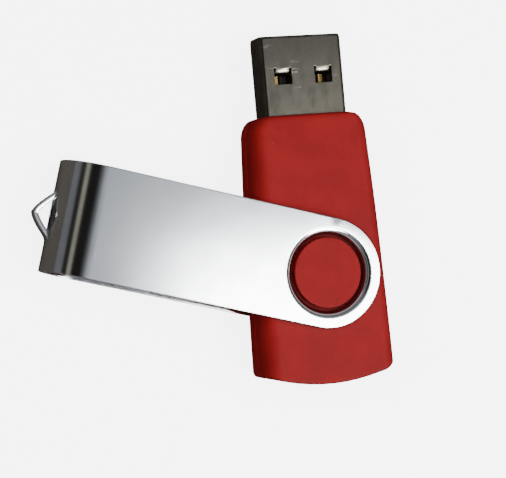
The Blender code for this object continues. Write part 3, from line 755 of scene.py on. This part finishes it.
# Painted shade: this gold is coloured darker than gold plate, because the contacts behind the plug's windows
# lie in shadow.
SHADE_DARKENED_GOLD = WornMetal("gold_plate", (0.52, 0.34, 0.12), (0.75, 0.55, 0.25), 0.24, 9000.0, 0.001 * MM, 0.5, 0.05,
                 (1.0, 0.1, 1.0))
CRYSTAL_CAN = WornMetal("crystal_can", (0.62, 0.62, 0.6), (0.85, 0.85, 0.84), 0.22, 9000.0, 0.001 * MM, 0.4)
SOLDER_MASK = SolderMask()
CHIP_EPOXY = BoardPart("chip_epoxy", (0.018, 0.018, 0.02), (0.07, 0.07, 0.07), 0.55)
CERAMIC = BoardPart("ceramic", (0.42, 0.29, 0.17), (0.6, 0.46, 0.3), 0.45)
RESISTOR_FILM = BoardPart("resistor_film", (0.022, 0.022, 0.024), (0.2, 0.2, 0.2), 0.35, 0.5)
LED_EPOXY = BoardPart("led_epoxy", (0.72, 0.74, 0.66), (0.9, 0.9, 0.85), 0.2, 0.8)


# ---------------------------------------------------------------- moulded body

def round_fall(distance: float, length: float, depth: float) -> float:
    """Work out how far a rounded end has fallen in.

    Args:
        distance: How far inside the end the place is.
        length: How far the rounding reaches from the end.
        depth: How far it falls in at the end itself.

    Returns:
        How far it has fallen in there.
    """
    if distance >= length:
        return 0.0
    return depth * (1 - sqrt(max(0.0, 1 - ((length - distance) / length) ** 2)))


@dataclass
class BodyHalf:
    """One hollow half of the moulded body, with its pivot button in a ring recess."""

    side: Side
    half_width: float
    front: float
    rear: float
    button_height: float
    half_height: float = 4.6 * MM
    front_half_width: float = 8.35 * MM
    taper_power: float = 1.4
    front_drop: float = 0.7 * MM
    drop_start: float = 6.0 * MM
    drop_power: float = 1.6
    bow: float = 1.4 * MM
    wall: float = 1.2 * MM
    side_round_x: float = 2.0 * MM
    side_round_z: float = 3.0 * MM
    shoulder_x: float = 1.9 * MM
    shoulder_y: float = 2.6 * MM
    rear_corner: float = 1.0 * MM
    front_edge: float = 0.8 * MM
    rear_edge: float = 0.5 * MM
    rim_gap: float = 0.03 * MM
    rim_round: float = 0.16 * MM
    button_radius: float = 4.8 * MM
    button_edge: float = 0.14 * MM
    recess_radius: float = 6.75 * MM
    recess_floor: float = 4.15 * MM
    recess_round: float = 0.15 * MM
    recess_flare: float = 1.03
    recess_headroom: float = 0.5 * MM
    button_root: float = 0.3 * MM
    slot_half_width: float = 6.15 * MM
    slot_half_height: float = 2.4 * MM
    slot_length: float = 8 * MM
    slot_corner: float = 0.7 * MM
    slot_flare: Point = (1.06, 1, 1.16)
    hollow_start: float = -1 * MM
    shoulder_steps: int = 12
    straight_steps: int = 16
    corner_steps: int = 6
    flat_columns: int = 4
    side_steps: int = 10
    turns: int = 96

    def wide(self, y: float, inset: float = 0.0) -> float:
        """Work out half the body's width.

        Args:
            y: The place along the body.
            inset: How far the surface lies inside the body's.

        Returns:
            Half the width there.
        """
        reach = (y - self.rear) / (self.front - self.rear)
        taper = (self.half_width - self.front_half_width) * max(0.0, reach) ** self.taper_power
        straight = self.half_width - taper
        straight -= round_fall(self.front - inset - y, self.shoulder_y, self.shoulder_x)
        return straight - inset - round_fall(y - self.rear - inset, self.rear_corner, self.rear_corner)

    def high(self, y: float, inset: float = 0.0) -> float:
        """Work out the body's height over the middle plane.

        Args:
            y: The place along the body.
            inset: How far the surface lies inside the body's.

        Returns:
            The height there.
        """
        reach = max(0.0, (y - self.drop_start) / (self.front - self.drop_start))
        height = self.half_height - inset - self.front_drop * reach ** self.drop_power
        height -= round_fall(self.front - inset - y, self.front_edge, self.front_edge)
        return height - round_fall(y - self.rear - inset, self.rear_edge, self.rear_edge)

    def stations(self, inset: float) -> list[float]:
        """List the places along the body where a cross-section is set, without its two ends.

        Args:
            inset: How far the surface lies inside the body's.

        Returns:
            The places, from front to rear.
        """
        front, rear = self.front - inset, self.rear + inset
        shoulder = [front - self.shoulder_y * (1 - cos(pi / 2 * k / self.shoulder_steps))
                    for k in range(1, self.shoulder_steps)]
        start, end = front - self.shoulder_y, rear + self.rear_corner
        straight = [start + (end - start) * k / self.straight_steps for k in range(self.straight_steps + 1)]
        corner = [rear + self.rear_corner * (1 - cos(pi / 2 * k / self.corner_steps))
                  for k in range(self.corner_steps - 1, 0, -1)]
        return shoulder + straight + corner

    def block(self, name: str, inset: float, floor: float) -> Workpiece:
        """Return a closed block of the body's outer form, moved in by inset.

        Args:
            name: The block's name.
            inset: How far its surface lies inside the body's.
            floor: The height over the middle plane that it starts from.

        Returns:
            The block, above the middle plane.
        """
        width, height = self.half_width - inset, self.half_height - inset
        front, rear = self.front - inset, self.rear + inset
        piece = Workpiece(name, bpy.ops.mesh.primitive_cube_add, size=1.0,
                          location=(0, (front + rear) / 2, (height + floor) / 2),
                          scale=(2 * width, front - rear, height - floor))
        with piece.editing():
            self.round_sides(piece, height)
            piece.cut(1, self.stations(inset))
            flat, columns = width - self.side_round_x, self.flat_columns
            piece.cut(0, [flat * k / columns for k in range(1 - columns, columns)])
            self.shape_rows(piece, inset)
            self.bow_rear(piece, inset)
            if inset == 0:
                self.round_rim(piece, floor)
        return piece

    def round_sides(self, piece: Workpiece, height: float) -> None:
        """Round the two long upper edges, further down the side than in across the top.

        Args:
            piece: The block.
            height: Its top's height over the middle plane.
        """
        piece.select(Element.EDGE, lambda edge: all(vert.co.z > height - TINY for vert in edge.verts)
                     and abs(edge.verts[0].co.x - edge.verts[1].co.x) < TINY)
        piece.bevel(self.side_round_x, self.side_steps)
        piece.select(Element.VERT, lambda vert: vert.co.z > height - self.side_round_x - TINY)
        piece.resize((1, 1, self.side_round_z / self.side_round_x), (0, 0, height))

    def shape_rows(self, piece: Workpiece, inset: float) -> None:
        """Scale each cross-section to the body's width and height there.

        Args:
            piece: The block.
            inset: How far its surface lies inside the body's.
        """
        width, height = self.half_width - inset, self.half_height - inset
        for y in [self.front - inset] + self.stations(inset) + [self.rear + inset]:
            piece.select(Element.VERT, lambda vert: abs(vert.co.y - y) < TINY)
            piece.resize((self.wide(y, inset) / width, 1, 1), (0, y, 0))
            piece.select(Element.VERT, lambda vert: abs(vert.co.y - y) < TINY and vert.co.z > TINY * 5)
            piece.resize((1, 1, self.high(y, inset) / height), (0, y, 0))

    def bow_rear(self, piece: Workpiece, inset: float) -> None:
        """Draw the rear's outer columns forward, so that the rear end is bowed.

        Args:
            piece: The block.
            inset: How far its surface lies inside the body's.
        """
        width = self.half_width - inset

        def column(vert: Any) -> int:
            """Return the mark of the column that a vertex was in before the rows were scaled."""
            return round(abs(vert.co.x) / (self.wide(vert.co.y, inset) / width) / TINY)

        for mark in piece.marks(column, lambda vert: vert.co.y < -TINY):
            share = 1 - self.bow / abs(self.rear) * (mark * TINY / self.half_width) ** 2
            piece.select(Element.VERT, lambda vert: vert.co.y < -TINY and column(vert) == mark)
            piece.resize((1, share, 1), (0, 0, 0))

    def round_rim(self, piece: Workpiece, floor: float) -> None:
        """Round the outer edge of the rim that meets the other half.

        Args:
            piece: The block.
            floor: The rim's height over the middle plane.
        """
        def on_rim(edge: Any) -> bool:
            """Say whether an edge runs round the foot of the block's sides.

            Args:
                edge: The edge.

            Returns:
                Whether it does.
            """
            low = all(vert.co.z < floor + TINY for vert in edge.verts)
            sides = [face for face in edge.link_faces if abs(face.normal.z) < 0.5]
            return low and len(sides) == 1

        piece.select(Element.EDGE, on_rim)
        piece.bevel(self.rim_round, 3)

    def pivot(self, piece: Workpiece) -> None:
        """Sink the ring recess and stand the round button in it.

        Args:
            piece: The half.
        """
        depth = self.button_height - self.recess_floor + self.recess_headroom
        recess = Workpiece("recess", bpy.ops.mesh.primitive_cylinder_add, vertices=self.turns,
                           radius=self.recess_radius, depth=depth,
                           location=(0, 0, self.recess_floor + depth / 2))
        with recess.editing():
            recess.select(Element.EDGE, lambda edge: all(
                vert.co.z < self.recess_floor + TINY for vert in edge.verts))
            recess.bevel(self.recess_round, 3)
            recess.select(Element.VERT, lambda vert: vert.co.z > self.button_height)
            recess.resize((self.recess_flare, self.recess_flare, 1), (0, 0, 0))
        piece.combine("DIFFERENCE", recess)
        height = self.button_height - self.recess_floor + self.button_root
        button = Workpiece("button", bpy.ops.mesh.primitive_cylinder_add, vertices=self.turns,
                           radius=self.button_radius, depth=height,
                           location=(0, 0, self.button_height - height / 2))
        with button.editing():
            button.select(Element.EDGE, lambda edge: all(
                vert.co.z > self.button_height - TINY for vert in edge.verts))
            button.bevel(self.button_edge, 4)
        piece.combine("UNION", button)

    def plug_slot(self, piece: Workpiece) -> None:
        """Cut the slot that the plug comes out of, slightly flared at the front face.

        Args:
            piece: The half.
        """
        slot = Workpiece("slot", bpy.ops.mesh.primitive_cube_add, size=1.0,
                         location=(0, self.front, 0),
                         scale=(2 * self.slot_half_width, self.slot_length, 2 * self.slot_half_height))
        with slot.editing():
            slot.select_long_edges(self.slot_length / 2)
            slot.bevel(self.slot_corner, 4)
            slot.select(Element.VERT, lambda vert: vert.co.y > self.front)
            slot.resize(self.slot_flare, (0, 0, 0))
        piece.combine("DIFFERENCE", slot)

    def build(self, finish: bpy.types.Material) -> None:
        """Make the half and dress it.

        Args:
            finish: The material.
        """
        name = f"{self.side.name.lower()}_body_shell"
        piece = self.block(name, 0.0, self.rim_gap)
        self.pivot(piece)
        self.plug_slot(piece)
        piece.combine("DIFFERENCE", self.block("hollow", self.wall, self.hollow_start))
        if self.side is Side.LOWER:
            with piece.editing():
                bpy.ops.mesh.select_all(action="SELECT")
                piece.resize((1, 1, self.side.value), (0, 0, 0))
                bpy.ops.mesh.normals_make_consistent(inside=False)
        piece.place(0.0, MIDDLE_Z)
        piece.shade()
        piece.finish(finish, "red_plastic", "drive", f"{self.side.name.lower()}_shell")


# ---------------------------------------------------------------- swivel cover

@dataclass
class SwivelCover:
    """The bent strip of sheet: two legs with drawn pivot holes, a round bend and a lanced loop."""

    half_height: float
    half_width: float = 7.52 * MM
    sheet: float = 0.7 * MM
    length: float = 38.1 * MM
    lip_bend_centre: float = 6.3 * MM
    lip_bend_radius: float = 0.9 * MM
    lip_bend_angle: float = radians(56)
    lip_straight: float = 0.55 * MM
    lip_steps: int = 10
    leg_start: float = 9.5 * MM
    leg_rows: int = 4
    bend_steps: int = 18
    loop_half_height: float = 1.15 * MM
    loop_slit: float = 0.2 * MM
    loop_root: float = 3.12 * MM
    loop_bulge: float = 2.5 * MM
    loop_power: float = 1.4
    loop_rows: int = 4
    edge_round: float = 0.13 * MM
    crowded_strip: float = 0.1 * MM
    corner_strip: float = 0.17 * MM
    corner_reach: float = 0.2
    corner_side: float = 0.9
    turns: int = 88

    def lip_rings(self) -> list[tuple[float, float]]:
        """List the rings of the drawn lip.

        Returns:
            Each ring's radius and height, from the lip's free end to the flat leg.
        """
        centre = self.half_height - self.lip_bend_radius
        rings = []
        for k in range(self.lip_steps + 1):
            angle = self.lip_bend_angle * k / self.lip_steps
            rings.append((self.lip_bend_centre - self.lip_bend_radius * sin(angle),
                          centre + self.lip_bend_radius * cos(angle)))
        radius, height = rings[-1]
        rings.append((radius - self.lip_straight * cos(self.lip_bend_angle),
                      height - self.lip_straight * sin(self.lip_bend_angle)))
        return rings[::-1]

    def draw_lip(self, piece: Workpiece) -> None:
        """Grow the lip outwards from its free end, ring by ring, to the leg's round end.

        Args:
            piece: The cover, still a single ring of edges.
        """
        rings = self.lip_rings() + [(self.half_width, self.half_height)]
        bpy.ops.mesh.select_all(action="SELECT")
        for (radius, height), (wider, higher) in zip(rings, rings[1:]):
            piece.extrude((0, 0, higher - height))
            piece.resize((wider / radius, wider / radius, 1), (0, 0, higher))

    def grow_leg(self, piece: Workpiece) -> float:
        """Extrude the leg from the round end's far half.

        Args:
            piece: The cover.

        Returns:
            Where along the leg its bend starts.
        """
        edge_radius = self.half_width - 10 * TINY
        piece.select(Element.EDGE, lambda edge: all(vert.co.xy.length > edge_radius and vert.co.x > -TINY
                                                    for vert in edge.verts))
        piece.extrude()
        piece.resize((0, 1, 1), (self.leg_start, 0, self.half_height))
        for side in (-1, 1):
            self.clear_corner(piece, side)
        piece.select(Element.EDGE, lambda edge: all(vert.co.x > self.leg_start - TINY
                                                    for vert in edge.verts))
        bend_start = self.length - self.half_height
        for _ in range(self.leg_rows):
            piece.extrude(((bend_start - self.leg_start) / self.leg_rows, 0, 0))
        return bend_start

    def clear_corner(self, piece: Workpiece, side: int) -> None:
        """Merge the crowded columns at a leg's edge and the flat faces where it meets the round end.

        Args:
            piece: The cover.
            side: Which edge of the leg, as the sign of y.
        """
        crowded = self.half_width - self.crowded_strip
        piece.select(Element.VERT, lambda vert: vert.co.x > self.leg_start - TINY
                     and side * vert.co.y > crowded)
        piece.resize((1, 0, 1), (self.leg_start, side * self.half_width, self.half_height))
        bpy.ops.mesh.remove_doubles(threshold=TINY / 10)

        def in_corner(face: Any) -> bool:
            """Say whether a flat face lies where the leg's edge leaves the round end.

            Args:
                face: The face.

            Returns:
                Whether it does.
            """
            middle = face.calc_center_median()
            across = side * middle.y
            near = (middle.x < self.corner_reach * self.half_width
                    and across > self.corner_side * self.half_width)
            return (middle.z > self.half_height - TINY and middle.x > 0
                    and (near or across > self.half_width - self.corner_strip))

        piece.select(Element.FACE, in_corner)
        bpy.ops.mesh.dissolve_faces()

    def bend(self, piece: Workpiece, start: float) -> None:
        """Spin the leg's end round the bend to the middle plane, with rows at the loop's edges.

        Args:
            piece: The cover.
            start: Where along the leg the bend starts.
        """
        slot = asin(self.loop_half_height / self.half_height)
        strip = asin((self.loop_half_height - self.loop_slit) / self.half_height)
        for angle, steps in ((pi / 2 - slot, self.bend_steps), (slot - strip, 1), (strip, self.loop_rows)):
            piece.spin(-angle, steps, (start, 0, 0), (0, 1, 0))

    def lance_loop(self, piece: Workpiece, start: float) -> None:
        """Slit the bend beside the loop's strip and push the strip out, column by column.

        Args:
            piece: The cover.
            start: Where along the leg the bend starts.
        """
        strip_top = self.loop_half_height - self.loop_slit
        root = self.loop_root + 2 * TINY
        reach = start + self.half_height / 2

        def in_slit(face: Any) -> bool:
            """Say whether a face lies between the loop's strip and the rest of the bend.

            Args:
                face: The face.

            Returns:
                Whether it does.
            """
            middle = face.calc_center_median()
            return (middle.x > reach and abs(middle.y) < root
                    and strip_top < middle.z < self.loop_half_height)

        piece.select(Element.FACE, in_slit)
        piece.remove_faces()
        for mark in piece.marks(lambda vert: round(vert.co.y / TINY),
                                lambda vert: vert.co.x > reach and abs(vert.co.y) < root - 4 * TINY):
            across = mark * TINY
            bulge = self.loop_bulge * (1 - (abs(across) / self.loop_root) ** self.loop_power)
            piece.select(Element.VERT, lambda vert: vert.co.x > reach and vert.co.z < strip_top + TINY
                         and abs(vert.co.y - across) < TINY)
            piece.move((bulge, 0, 0))

    def build(self, finish: bpy.types.Material) -> None:
        """Make the cover in its own frame, then turn it to its open place and dress it.

        Args:
            finish: The material.
        """
        radius, height = self.lip_rings()[0]
        piece = Workpiece("bent_swivel_cover", bpy.ops.mesh.primitive_circle_add, vertices=self.turns,
                          radius=radius, fill_type="NOTHING", location=(0, 0, height))
        with piece.editing():
            self.draw_lip(piece)
            start = self.grow_leg(piece)
            self.bend(piece, start)
            self.lance_loop(piece, start)
        piece.modify("MIRROR", use_axis=(False, False, True), merge_threshold=TINY)
        with piece.editing():
            piece.merge_doubles()
            top = piece.select(Element.FACE, lambda face: face.normal.z > 0.9
                               and face.calc_center_median().z > self.half_height - TINY)
            if top == 0:
                bpy.ops.mesh.select_all(action="SELECT")
                bpy.ops.mesh.flip_normals()
        piece.modify("SOLIDIFY", thickness=self.sheet, offset=-1.0, use_even_offset=True)
        piece.soften_edges(self.edge_round, 3, 55)
        piece.place(COVER_OPEN_ANGLE, MIDDLE_Z)
        piece.shade(38)
        piece.finish(finish, "satin_steel", "swivel_clip", "swivel_cover")


# ---------------------------------------------------------------- plug

@dataclass
class PlugShell:
    """The plug's folded sheet, with its windows, bent retention tabs, seam and drawn-in mouth.

    Each of a tab's bends is the angle in degrees that its next length leans down by, and that length in
    millimetres.
    """

    half_width: float
    half_height: float
    front: float
    rear: float
    sheet: float = 0.3 * MM
    corner: float = 0.6 * MM
    seam: float = 0.15 * MM
    window_x: float = 2.95 * MM
    window_half_width: float = 1.25 * MM
    window_rear: float = 26.2 * MM
    window_front: float = 28.5 * MM
    tab_half_width: float = 1.0 * MM
    mouth_pull: float = 0.12 * MM
    mouth_length: float = 0.5 * MM
    edge_round: float = 0.05 * MM
    tab_bends: tuple[tuple[float, float], ...] = ((10, 0.2), (22, 0.25), (34, 0.25), (46, 0.2), (62, 0.3),
                                                  (74, 0.5), (80, 0.4))

    def in_window(self, face: Any, half_width: float) -> bool:
        """Say whether a flat face lies in one of the windows.

        Args:
            face: The face.
            half_width: Half the width that counts as the window.

        Returns:
            Whether it does.
        """
        middle = face.calc_center_median()
        return (abs(face.normal.z) > 0.9 and abs(abs(middle.x) - self.window_x) < half_width
                and self.window_rear < middle.y < self.window_front)

    def open_sheet(self, piece: Workpiece) -> None:
        """Cut the windows and the seam, and open both ends.

        Args:
            piece: The shell, still a closed block.
        """
        edges = [side * (self.window_x + reach) for side in (-1, 1)
                 for reach in (-self.window_half_width, -self.tab_half_width, self.tab_half_width,
                               self.window_half_width)]
        piece.cut(0, edges + [-self.seam / 2, self.seam / 2])
        piece.cut(1, [self.window_rear, self.window_front, self.front - self.mouth_length])
        piece.select(Element.FACE, lambda face: abs(face.normal.y) > 0.9
                     or self.in_window(face, self.window_half_width)
                     or (face.normal.z < -0.9 and abs(face.calc_center_median().x) < self.seam / 2))
        piece.remove_faces()

    def bend_tabs(self, piece: Workpiece) -> None:
        """Grow the two tabs from the front edges of the upper windows and bend them down.

        Args:
            piece: The open shell.
        """
        def at_root(edge: Any) -> bool:
            """Say whether an edge is one that a tab hangs from.

            Args:
                edge: The edge.

            Returns:
                Whether it is.
            """
            middle = (edge.verts[0].co + edge.verts[1].co) / 2
            return (abs(middle.y - self.window_front) < TINY and middle.z > self.half_height - TINY
                    and abs(abs(middle.x) - self.window_x) < self.tab_half_width / 2)

        piece.select(Element.EDGE, at_root)
        for degrees, step in self.tab_bends:
            angle = radians(degrees)
            piece.extrude((0, -step * MM * cos(angle), -step * MM * sin(angle)))

    def build(self, finish: bpy.types.Material) -> None:
        """Make the folded sheet and dress it.

        Args:
            finish: The material.
        """
        length = self.front - self.rear
        piece = Workpiece("folded_plug_shell", bpy.ops.mesh.primitive_cube_add, size=1.0,
                          location=(0, self.rear + length / 2, 0),
                          scale=(2 * self.half_width, length, 2 * self.half_height))
        with piece.editing():
            piece.select_long_edges(length / 2)
            piece.bevel(self.corner, 6)
            self.open_sheet(piece)
            self.bend_tabs(piece)
            piece.select(Element.VERT, lambda vert: vert.co.y > self.front - TINY)
            piece.resize((1 - self.mouth_pull / self.half_width, 1, 1 - self.mouth_pull / self.half_height),
                         (0, 0, 0))
        piece.modify("SOLIDIFY", thickness=self.sheet, offset=-1.0, use_even_offset=True)
        piece.soften_edges(self.edge_round, 2, 55)
        piece.place(0.0, MIDDLE_Z)
        piece.shade(38)
        piece.finish(finish, "nickel_steel", "drive", "plug_shell")


# ---------------------------------------------------------------- what the CAD nodes keep

@dataclass
class InnerParts:
    """The CAD nodes that stay in view or inside, and the finish that each one gets."""

    nodes: dict[str, bpy.types.Object]

    def dress(self) -> None:
        """Give every kept node its finish."""
        finishes = {("plug_insulator",): BLACK_PLASTIC, ("contact_",): SHADE_DARKENED_GOLD, ("circuit_board",): SOLDER_MASK,
                    ("_chip", "voltage_regulator"): CHIP_EPOXY, ("crystal",): CRYSTAL_CAN,
                    ("activity_led",): LED_EPOXY, ("capacitor_",): CERAMIC, ("resistor_",): RESISTOR_FILM}
        for parts, finish in finishes.items():
            material = finish.make()
            for name, obj in self.nodes.items():
                if any(part in name for part in parts):
                    obj.data.materials.clear()
                    obj.data.materials.append(material)
                    LOG.info("%s: %s", name, finish.name)


# ---------------------------------------------------------------- studio

@dataclass(frozen=True)
class SoftLight:
    """A rectangular soft light: where it hangs, what it faces, its size in metres and its watts.

    A light that isn't mirrored fills shadows without showing in the metal, and one that isn't filling
    shows in the metal only.
    """

    name: str
    place: Point
    aim: Point
    width: float
    depth: float
    power: float
    mirrored: bool = True
    filling: bool = True

    def hang(self) -> None:
        """Hang the light."""
        light = bpy.data.lights.new(self.name, "AREA")
        light.shape = "RECTANGLE"
        light.size = self.width
        light.size_y = self.depth
        light.energy = self.power
        lamp = bpy.data.objects.new(self.name, light)
        bpy.context.scene.collection.objects.link(lamp)
        lamp.location = self.place
        lamp.visible_glossy = self.mirrored
        lamp.visible_diffuse = self.filling
        lamp.rotation_euler = (Vector(self.aim) - Vector(self.place)).to_track_quat("-Z", "Y").to_euler()
        LOG.info("%s: %.2f W", self.name, self.power)


LIGHTS = (
    SoftLight("window", (0.137, -0.050, 0.33), (0.137, -0.050, 0.0), 0.135, 0.10, 0.66),
    SoftLight("sky_fill", (0.10, -0.08, 0.45), (0.0, 0.0, 0.0), 0.5, 0.5, 2.4, mirrored=False),
    SoftLight("left_fill", (-0.24, 0.06, 0.38), (0.0, 0.0, 0.0), 0.25, 0.3, 1.5, mirrored=False),
    SoftLight("glint_card", (0.13, -0.24, 0.24), (0.0, 0.02, 0.0), 0.20, 0.20, 2.6, filling=False),
)


@dataclass
class Studio:
    """The pale floor, the room, the soft lights and the camera.

    The side walls, the low sky and the lit end are each where they start and where they are full, as parts
    of a direction of length 1.
    """

    floor_z: float
    floor_size: float = 3.0
    floor_glow: float = 5.0
    bright_side: Point = (0.40, 0.42, 0.45)
    black: Point = (0.010, 0.009, 0.008)
    shade: Point = (0.10, 0.092, 0.076)
    strip: Point = (0.30, 0.29, 0.23)
    dim: Point = (0.13, 0.135, 0.14)
    dusk: Point = (0.15, 0.15, 0.155)
    horizon: Point = (0.46, 0.44, 0.43)
    side_walls: tuple[float, float] = (0.34, 0.50)
    low_sky: tuple[float, float] = (0.46, 0.28)
    lit_end: tuple[float, float] = (-0.80, -0.62)
    pale: Point = (0.84, 0.84, 0.84)
    paler: Point = (0.87, 0.87, 0.87)
    mirrored_floor: Point = (0.05, 0.045, 0.038)
    target: Point = (-8.604 * MM, 5.449 * MM, 5.2 * MM)
    azimuth: float = radians(-90.633)
    elevation: float = radians(71.602)
    roll: float = radians(85.591)
    distance: float = 230.4 * MM
    lens: float = 119.37

    def lay_floor(self) -> None:
        """Lay the pale floor under the drive; only the camera sees it pale and glowing."""
        deselect_all()
        bpy.ops.mesh.primitive_plane_add(size=self.floor_size, location=(0, 0, self.floor_z))
        floor = bpy.context.object
        floor.name = "floor"
        material, bench, shader, place = start_material("pale_floor")
        seen = bench.add("ShaderNodeLightPath").outputs["Is Camera Ray"]
        tone = bench.noise(place, 25.0, 3.0)
        pale = bench.blend(tone, (*self.pale, 1), (*self.paler, 1))
        bench.feed(shader.inputs["Base Color"], bench.blend(seen, (*self.mirrored_floor, 1), pale))
        shader.inputs["Roughness"].default_value = 0.9
        shader.inputs["Specular IOR Level"].default_value = 0.1
        shader.inputs["Emission Color"].default_value = (1.0, 1.0, 1.0, 1)
        bench.feed(shader.inputs["Emission Strength"], bench.times(seen, self.floor_glow))
        floor.data.materials.append(material)

    def light(self) -> None:
        """Set a room with bands overhead, dusky side walls and a pale horizon, and hang the lights."""
        world = bpy.data.worlds.new("studio")
        bpy.context.scene.world = world
        world.use_nodes = True
        bench = NodeBench(world.node_tree)
        way = bench.add("ShaderNodeSeparateXYZ", Vector=bench.add("ShaderNodeTexCoord").outputs["Generated"])
        bands = self.overhead_bands(bench, way.outputs["X"])
        aside = bench.spread(bench.maths("ABSOLUTE", way.outputs["Y"]), *self.side_walls)
        walls = bench.blend(aside, bands, (*self.dusk, 1))
        low = bench.spread(way.outputs["Z"], *self.low_sky)
        lit_end = bench.spread(way.outputs["X"], *self.lit_end)
        room = bench.blend(bench.times(low, lit_end), walls, (*self.horizon, 1))
        bench.feed(world.node_tree.nodes["Background"].inputs["Color"], room)
        for lamp in LIGHTS:
            lamp.hang()

    def overhead_bands(self, bench: NodeBench, along: bpy.types.NodeSocket) -> bpy.types.NodeSocket:
        """Make the room's bands of light and dark over the drive, by how far a direction leans along X.

        Args:
            bench: The world's bench.
            along: The direction's X part.

        Returns:
            The bands' colour.
        """
        ramp = bench.add("ShaderNodeValToRGB", Fac=bench.maths("MULTIPLY_ADD", along, 0.5, 0.5))
        stops = ((-1.0, self.dusk), (-0.88, self.dusk), (-0.84, self.black), (-0.76, self.black),
                 (-0.71, self.strip), (-0.64, self.strip), (-0.57, self.black), (-0.22, self.black),
                 (-0.06, self.dim), (0.10, self.bright_side), (0.42, self.bright_side), (0.58, self.shade),
                 (1.0, self.shade))
        points = ramp.color_ramp.elements
        while len(points) < len(stops):
            points.new(0.5)
        for point, (place, colour) in zip(points, stops):
            point.position = place * 0.5 + 0.5
            point.color = (*colour, 1)
        return ramp.outputs["Color"]

    def set_camera(self) -> None:
        """Set the camera over the drive, leaning towards the cover's side."""
        camera = bpy.data.cameras.new("camera")
        camera.lens = self.lens
        camera.clip_start = 0.01
        holder = bpy.data.objects.new("camera", camera)
        bpy.context.scene.collection.objects.link(holder)
        back = Vector((sin(self.azimuth) * cos(self.elevation), -cos(self.azimuth) * cos(self.elevation),
                       sin(self.elevation)))
        upright = back.to_track_quat("Z", "Y")
        holder.location = Vector(self.target) + back * self.distance
        holder.rotation_euler = (upright @ Quaternion((0, 0, 1), self.roll)).to_euler()
        bpy.context.scene.camera = holder
        LOG.info("camera at %s", holder.location)


# ---------------------------------------------------------------- the whole drive


def main() -> None:
    """Build every piece in order, dress it, and set up the studio."""
    logging.basicConfig(level=logging.INFO, format="%(message)s")
    low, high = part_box("upper_shell")
    red = RED_PLASTIC.make()
    for side in Side:
        BodyHalf(side, half_width=high.x, front=high.y, rear=low.y,
                 button_height=high.z - MIDDLE_Z).build(red)
    cover_low, cover_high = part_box("swivel_cover")
    SwivelCover(half_height=(cover_high.z - cover_low.z) / 2).build(SATIN_STEEL.make())
    plug_low, plug_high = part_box("plug_shell")
    PlugShell(half_width=plug_high.x, half_height=(plug_high.z - plug_low.z) / 2, front=plug_high.y,
              rear=plug_low.y).build(NICKEL_STEEL.make())
    InnerParts(frame["nodes"]).dress()
    studio = Studio(floor_z=CAD_BOX[0].z)
    studio.lay_floor()
    studio.light()
    studio.set_camera()


if __name__ == "__main__":
    main()
